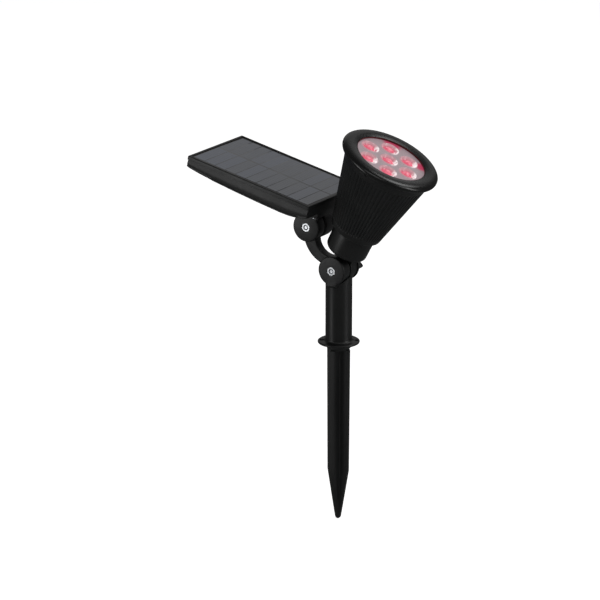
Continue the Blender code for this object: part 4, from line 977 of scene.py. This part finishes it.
def bellyLine(start, end, lift, steps):
    stations = [start + (end - start) * step / steps for step in range(steps + 1)]
    return [(panel["centre"] + along, panel["top"] - bellyDepth(along) + lift) for along in stations]


# a rounded rectangle lofted through (inset, height) rows
def frameLoft(rows, corner, closed=True):
    outlines = []
    for inset, height in rows:
        x, y = panel["length"] / 2 - inset, panel["width"] / 2 - inset
        radius = max(corner - inset, 0.25)
        line = roundedLine([(-x, -y, radius), (x, -y, radius), (x, y, radius), (-x, y, radius)], 6)
        outlines.append([(panel["centre"] + px, py, height) for px, py in line])
    return lofted(outlines, closed)


top, foot, wide = panel["top"], panel["rimFoot"], panel["rimWidth"]
rimRows = [(0.0, foot + 0.2), (0.0, top - 0.7), (0.06, top - 0.42), (0.22, top - 0.2), (0.45, top - 0.05),
           (0.7, top), (wide - 0.45, top), (wide - 0.12, top - 0.12), (wide, top - 0.45), (wide, foot),
           (0.25, foot)]
finishPiece("panelRim", frameLoft(rimRows, 0.9), panelPlace, "panel", satinAbs, ["panel_rim"], 50)


# the tray's side wall: it swells a little below the rim, draws in, and ends in a lip along most of its length
def traySide(x, low):
    half, top = panel["width"] / 2 - panel["inset"], panel["trayTop"]
    tall = top - low
    start, end = panel["lip"]
    out = 0.42 * min(max(min(x - start, end - x) / 3.0, 0.0), 1.0)
    shape = ((-0.45, 0.0), (-0.28, 0.12), (-0.06, 0.34), (0.0, 0.47), (-0.05, 0.58), (-0.30, 0.74), (-0.38, 0.82),
             (-0.30 + 0.8 * out, 0.862), (-0.12 + out, 0.892), (out, 0.925), (out - 0.05, 0.965),
             (out - 0.35, 0.99), (out - 0.8, 1.0))
    return [(half + reach, top - tall * share) for reach, share in shape]


# lofts a half outline and its mirror image through stations along the belly
def bellyLoft(start, end, steps, halfOutline):
    outlines = []
    for x, low in bellyLine(start, end, 0.0, steps):
        side = halfOutline(x, low)
        outlines.append([(x, y, z) for y, z in side + [(-y, z) for y, z in side[::-1]]])
    return lofted(outlines)


def screwSpots():
    x, y = panel["length"] / 2 - 5.4, panel["width"] / 2 - 5.4
    return [(panel["centre"] + sx * x, sy * y) for sx in (-1, 1) for sy in (-1, 1)]


def screwSeat(x):
    return panel["top"] - bellyDepth(x - panel["centre"]) + 2.0


bracketSpots = [(sx * 8.5, sy * 17.0) for sx in (-1, 1) for sy in (-1, 1)]


def finishedTray():
    gap = 0.3
    cover = panel["coverThick"] + gap
    recess = bellyLine(panel["coverFrom"] - gap, panel["coverTo"] + gap, cover, 30)
    recess += bellyLine(panel["coverTo"] + gap, panel["coverFrom"] - gap, -6.0, 2)
    hollow = block((panel["centre"] - 57, -38, panel["trayFloor"]), (panel["centre"] + 57, 38, 40))
    x, radius = panel["button"]
    edge = panel["coverHalf"] + gap
    work = cuts(hollow, plate(recess, -edge, edge), pin(radius + gap, 5, 24, 48, at=(x, 0)))
    for spot in screwSpots():
        work += cuts(pin(1.8, 5, 40, 24, at=spot), pin(3.2, 5, screwSeat(spot[0]), 32, at=spot))
    work += cuts(*[pin(1.6, 5, 40, 24, at=spot) for spot in bracketSpots])
    for notch in panel["notches"]:
        low = panel["top"] - bellyDepth(notch - panel["centre"])
        for ends in ((-50, -43.05), (43.05, 50)):
            work += cuts(block((notch - panel["notchHalf"], ends[0], low - 2),
                               (notch + panel["notchHalf"], ends[1], low + 1.3)))
    end = panel["length"] / 2 - panel["inset"]
    return shaped(bellyLoft(-end, end, 84, traySide), work)


finishPiece("panelTray", finishedTray(), panelPlace, "panel", satinAbs, ["panel_tray"], 30)

bracket = {"x": (-13.0, 12.4), "half": 20.0, "bottom": 14.2, "neck": 9.0, "barrel": 12.9}


# the underside cover, let into the tray, with an eased edge
def coverSide(x, low):
    half = panel["coverHalf"]
    return [(half, low + panel["coverThick"]), (half, low + 0.5), (half - 0.15, low + 0.15), (half - 0.5, low)]


def coverForm():
    x, radius = panel["button"]
    gap = 0.6
    mouth = block((bracket["x"][0] - gap, -bracket["half"] - gap, 5), (40, bracket["half"] + gap, 30))
    cover = bellyLoft(panel["coverFrom"], panel["coverTo"], 44, coverSide)
    return shaped(cover, cuts(pin(radius + gap / 2, 5, 24, 48, at=(x, 0)), mouth))


finishPiece("panelCover", coverForm(), panelPlace, "panel", satinAbs, ["panel_cover"], 30)

sheet = {"foot": 29.9, "top": 31.95, "edge": 3.0, "columns": 11, "rows": 2, "length": 118.9, "width": 79.6,
         "gap": 0.7, "middleGap": 1.6, "thick": 0.06, "seed": 4}
laminateRows = [(sheet["edge"], sheet["foot"]), (sheet["edge"], sheet["top"] - 0.35), (3.1, sheet["top"] - 0.12),
                (3.35, sheet["top"])]
finishPiece("panelLaminate", frameLoft(laminateRows, 3.6, closed=False), panelPlace, "panel", backing,
            ["pv_laminate"], 40)
cellMesh = grown(cellGrid, {
    "Columns": sheet["columns"], "Rows": sheet["rows"], "Length": sheet["length"], "Width": sheet["width"],
    "Gap": sheet["gap"], "Middle Gap": sheet["middleGap"], "Thickness": sheet["thick"], "Seed": sheet["seed"],
    "Material": cells})
cellMesh.transform(Matrix.Translation((panel["centre"], 0.0, sheet["top"])))
finishPiece("panelCells", cellMesh, panelPlace, "panel", cells, ())
print("panel: made")


def bracketForm():
    x, half, bottom, neck = bracket["x"], bracket["half"], bracket["bottom"], bracket["neck"]
    base = block((x[0], -half, bottom), (x[1], half, 24), 0.8)
    end = panel["length"] / 2 + 5
    over = [(panel["centre"] - end, 40), (panel["centre"] + end, 40)] + bellyLine(end, -end, -0.3, 40)
    front = plate(earOutline(knuckle["ear"], neck, bottom + 1.5), -knuckle["earOut"], -knuckle["earIn"], 0)
    frontRims = [edge for edge in front.edges if all(abs(v.co.y + knuckle["earOut"]) < 0.01 for v in edge.verts)
                 and len(edge.link_faces) == 2]
    bmesh.ops.bevel(front, geom=frontRims, offset=knuckle["rim"] - 0.1, segments=5, profile=0.5, affect="EDGES",
                    clamp_overlap=False)
    barrel = plate(earOutline(bracket["barrel"], neck, bottom + 1.5), 0.0, 13.6, 1.0, 4)
    work = cuts(plate(over, -60, 60)) + joins(front, barrel, registerBoss()) + clampCuts()
    return shaped(base, work + cuts(*[pin(1.6, 5, 30, 24, at=spot) for spot in bracketSpots]))


finishPiece("panelBracket", bracketForm(), panelPlace, "panel", satinAbs, ["panel_bracket"], 30)


# a pan head with a cross recess, driven upwards; its seat is at height 0
def screwUnit(head, shank, length):
    body = turned([(0, length), (shank * 0.5, length), (shank, length - 1), (shank, 0), (head, 0), (head, -0.5),
                   (head * 0.9, -1.0), (head * 0.66, -1.4), (head * 0.3, -1.58), (0, -1.6)], 36)
    arms = ((head * 0.55, 0.3), (0.3, head * 0.55))
    return toObject(shaped(body, cuts(*[block((-x, -y, -3), (x, y, -0.7)) for x, y in arms])), "unit")


for name, head, shank, length, spots, nodeName in (
        ("trayScrews", 2.8, 1.4, 6.5, [(x, y, screwSeat(x) - 0.3) for x, y in screwSpots()],
         "tray_screw_%d"),
        ("bracketScrews", 2.6, 1.25, 8.6, [(x, y, bracket["bottom"] - 0.3) for x, y in bracketSpots],
         "bracket_screw_%d")):
    unit = screwUnit(head, shank, length)
    host = bmesh.new()
    for spot in spots:
        host.verts.new(spot)
    screws = grown(screwPlaces, {"Unit": unit, "Turn Seed": 7, "Material": zincSteel}, host)
    bpy.data.objects.remove(unit)
    finishPiece(name, screws, panelPlace, "panel", zincSteel, [nodeName % number for number in range(1, 5)],
                25)


# the rubber button: a shallow dish with a raised ring, and its stem inside
def buttonForm():
    x, radius = panel["button"]
    outside = panel["top"] - bellyDepth(x - panel["centre"]) - 1.3
    inside = 22.3  # the stem's end, just under the charge board's switch
    return turned(roundedLine([
        (0, inside, 0), (2.0, inside, 0), (2.0, inside - 0.6, 0), (radius, inside - 0.6, 0),
        (radius, outside, 0.7), (radius - 1.1, outside, 0.3), (radius - 1.5, outside + 0.3, 0.3),
        (0, outside + 0.45, 0)], 5), 72, at=(x, 0))


finishPiece("pushButton", buttonForm(), panelPlace, "button", nitrileRubber, ["power_button"])
print("bracket and screws: made")


carried = {
    nitrileRubber: ("base_gasket", "panel_gasket", "lower_friction_washer", "upper_friction_washer"),
    satinAbs: ("mode_switch",), whiteAbs: ("cell_cradle",), blueSleeve: ("battery_cell",),
    greenMask: ("charge_board", "control_board"), whiteMask: ("led_board",),
}
for material, names in carried.items():
    for name in names:
        node = frame["nodes"][name]
        node.data.materials.clear()
        node.data.materials.append(material)


studio = {
    "floorGap": 0.0004, "floorSize": 14.0, "floorColour": "#f4f4f3", "floorGlow": 0.85,
    "backdrop": "#ffffff", "surround": 0.10,
    # softboxes: (way to it from the light, distance, width, height, strength in watts)
    "boxes": {
        "backTop": ((0.38, 0.47, 0.78), 2.0, 1.0, 0.6, 6.5),
        "keyRight": ((0.86, 0.10, 0.50), 2.0, 0.6, 0.5, 3.0),
        "sideRight": ((0.97, 0.15, 0.15), 2.1, 0.5, 1.4, 7.0),
        "frontTop": ((0.30, -0.52, 0.80), 2.0, 1.2, 0.5, 3.5),
        "fillLeft": ((-0.56, -0.80, 0.08), 2.1, 0.6, 1.6, 9.0),
        "behind": ((-0.35, 0.80, 0.48), 2.2, 1.8, 1.2, 1.9),
    },
    "aim": (0.0, 0.0, 0.06),
}
camera = {"at": (1.2667, -2.1438, 0.7994), "back": (0.4977, -0.8167, 0.2922), "lens": 178.8, "sensor": 36.0}


def stageFloor():
    low = cadBox[0]
    form = bmesh.new()
    bmesh.ops.create_grid(form, x_segments=1, y_segments=1, size=studio["floorSize"] / 2)
    bmesh.ops.translate(form, verts=form.verts, vec=(0, 0, low.z - studio["floorGap"]))
    floor = toObject(form, "studioFloor")
    material, tree, shader = newFinish("paperSweep", studio["floorColour"], 0.9)
    feed(tree, shader, {"Emission Color": linear("#ffffff"), "Emission Strength": studio["floorGlow"]})
    floor.data.materials.append(material)
    floor.visible_glossy = False  # so the black plastic keeps the dark of a real studio below it


# white behind the object, and a dim surround for everything that the softboxes miss
def stageWorld():
    world = bpy.data.worlds.new("studio")
    scene.world = world
    world.use_nodes = True
    tree = world.node_tree
    back = tree.nodes["Background"]
    path = addNode(tree, "ShaderNodeLightPath")
    shade = addNode(tree, "ShaderNodeMapRange", {"Value": path.outputs["Is Camera Ray"],
                                                 "To Min": studio["surround"], "To Max": 1.0})
    back.inputs["Color"].default_value = linear(studio["backdrop"])
    tree.links.new(shade.outputs[0], back.inputs["Strength"])


def stageLights():
    aim = Vector(studio["aim"])
    for name, (way, distance, width, height, power) in studio["boxes"].items():
        light = bpy.data.lights.new(name, "AREA")
        light.shape = "RECTANGLE"
        light.size, light.size_y = width, height
        light.energy = power
        box = toScene(name, light)
        box.location = aim + Vector(way).normalized() * distance
        box.rotation_mode = "QUATERNION"
        box.rotation_quaternion = Vector(way).to_track_quat("Z", "Y")


def stageCamera():
    data = bpy.data.cameras.new("view")
    data.lens, data.sensor_width = camera["lens"], camera["sensor"]
    data.clip_start, data.clip_end = 0.01, 50.0
    eye = toScene("view", data)
    back = Vector(camera["back"]).normalized()
    side = Vector((0, 0, 1)).cross(back).normalized()
    eye.matrix_world = Matrix((side, back.cross(side), back)).transposed().to_4x4()
    eye.location = camera["at"]
    scene.camera = eye


stageFloor()
stageWorld()
stageLights()
stageCamera()
scene.view_settings.view_transform = "Standard"
print("studio: made")
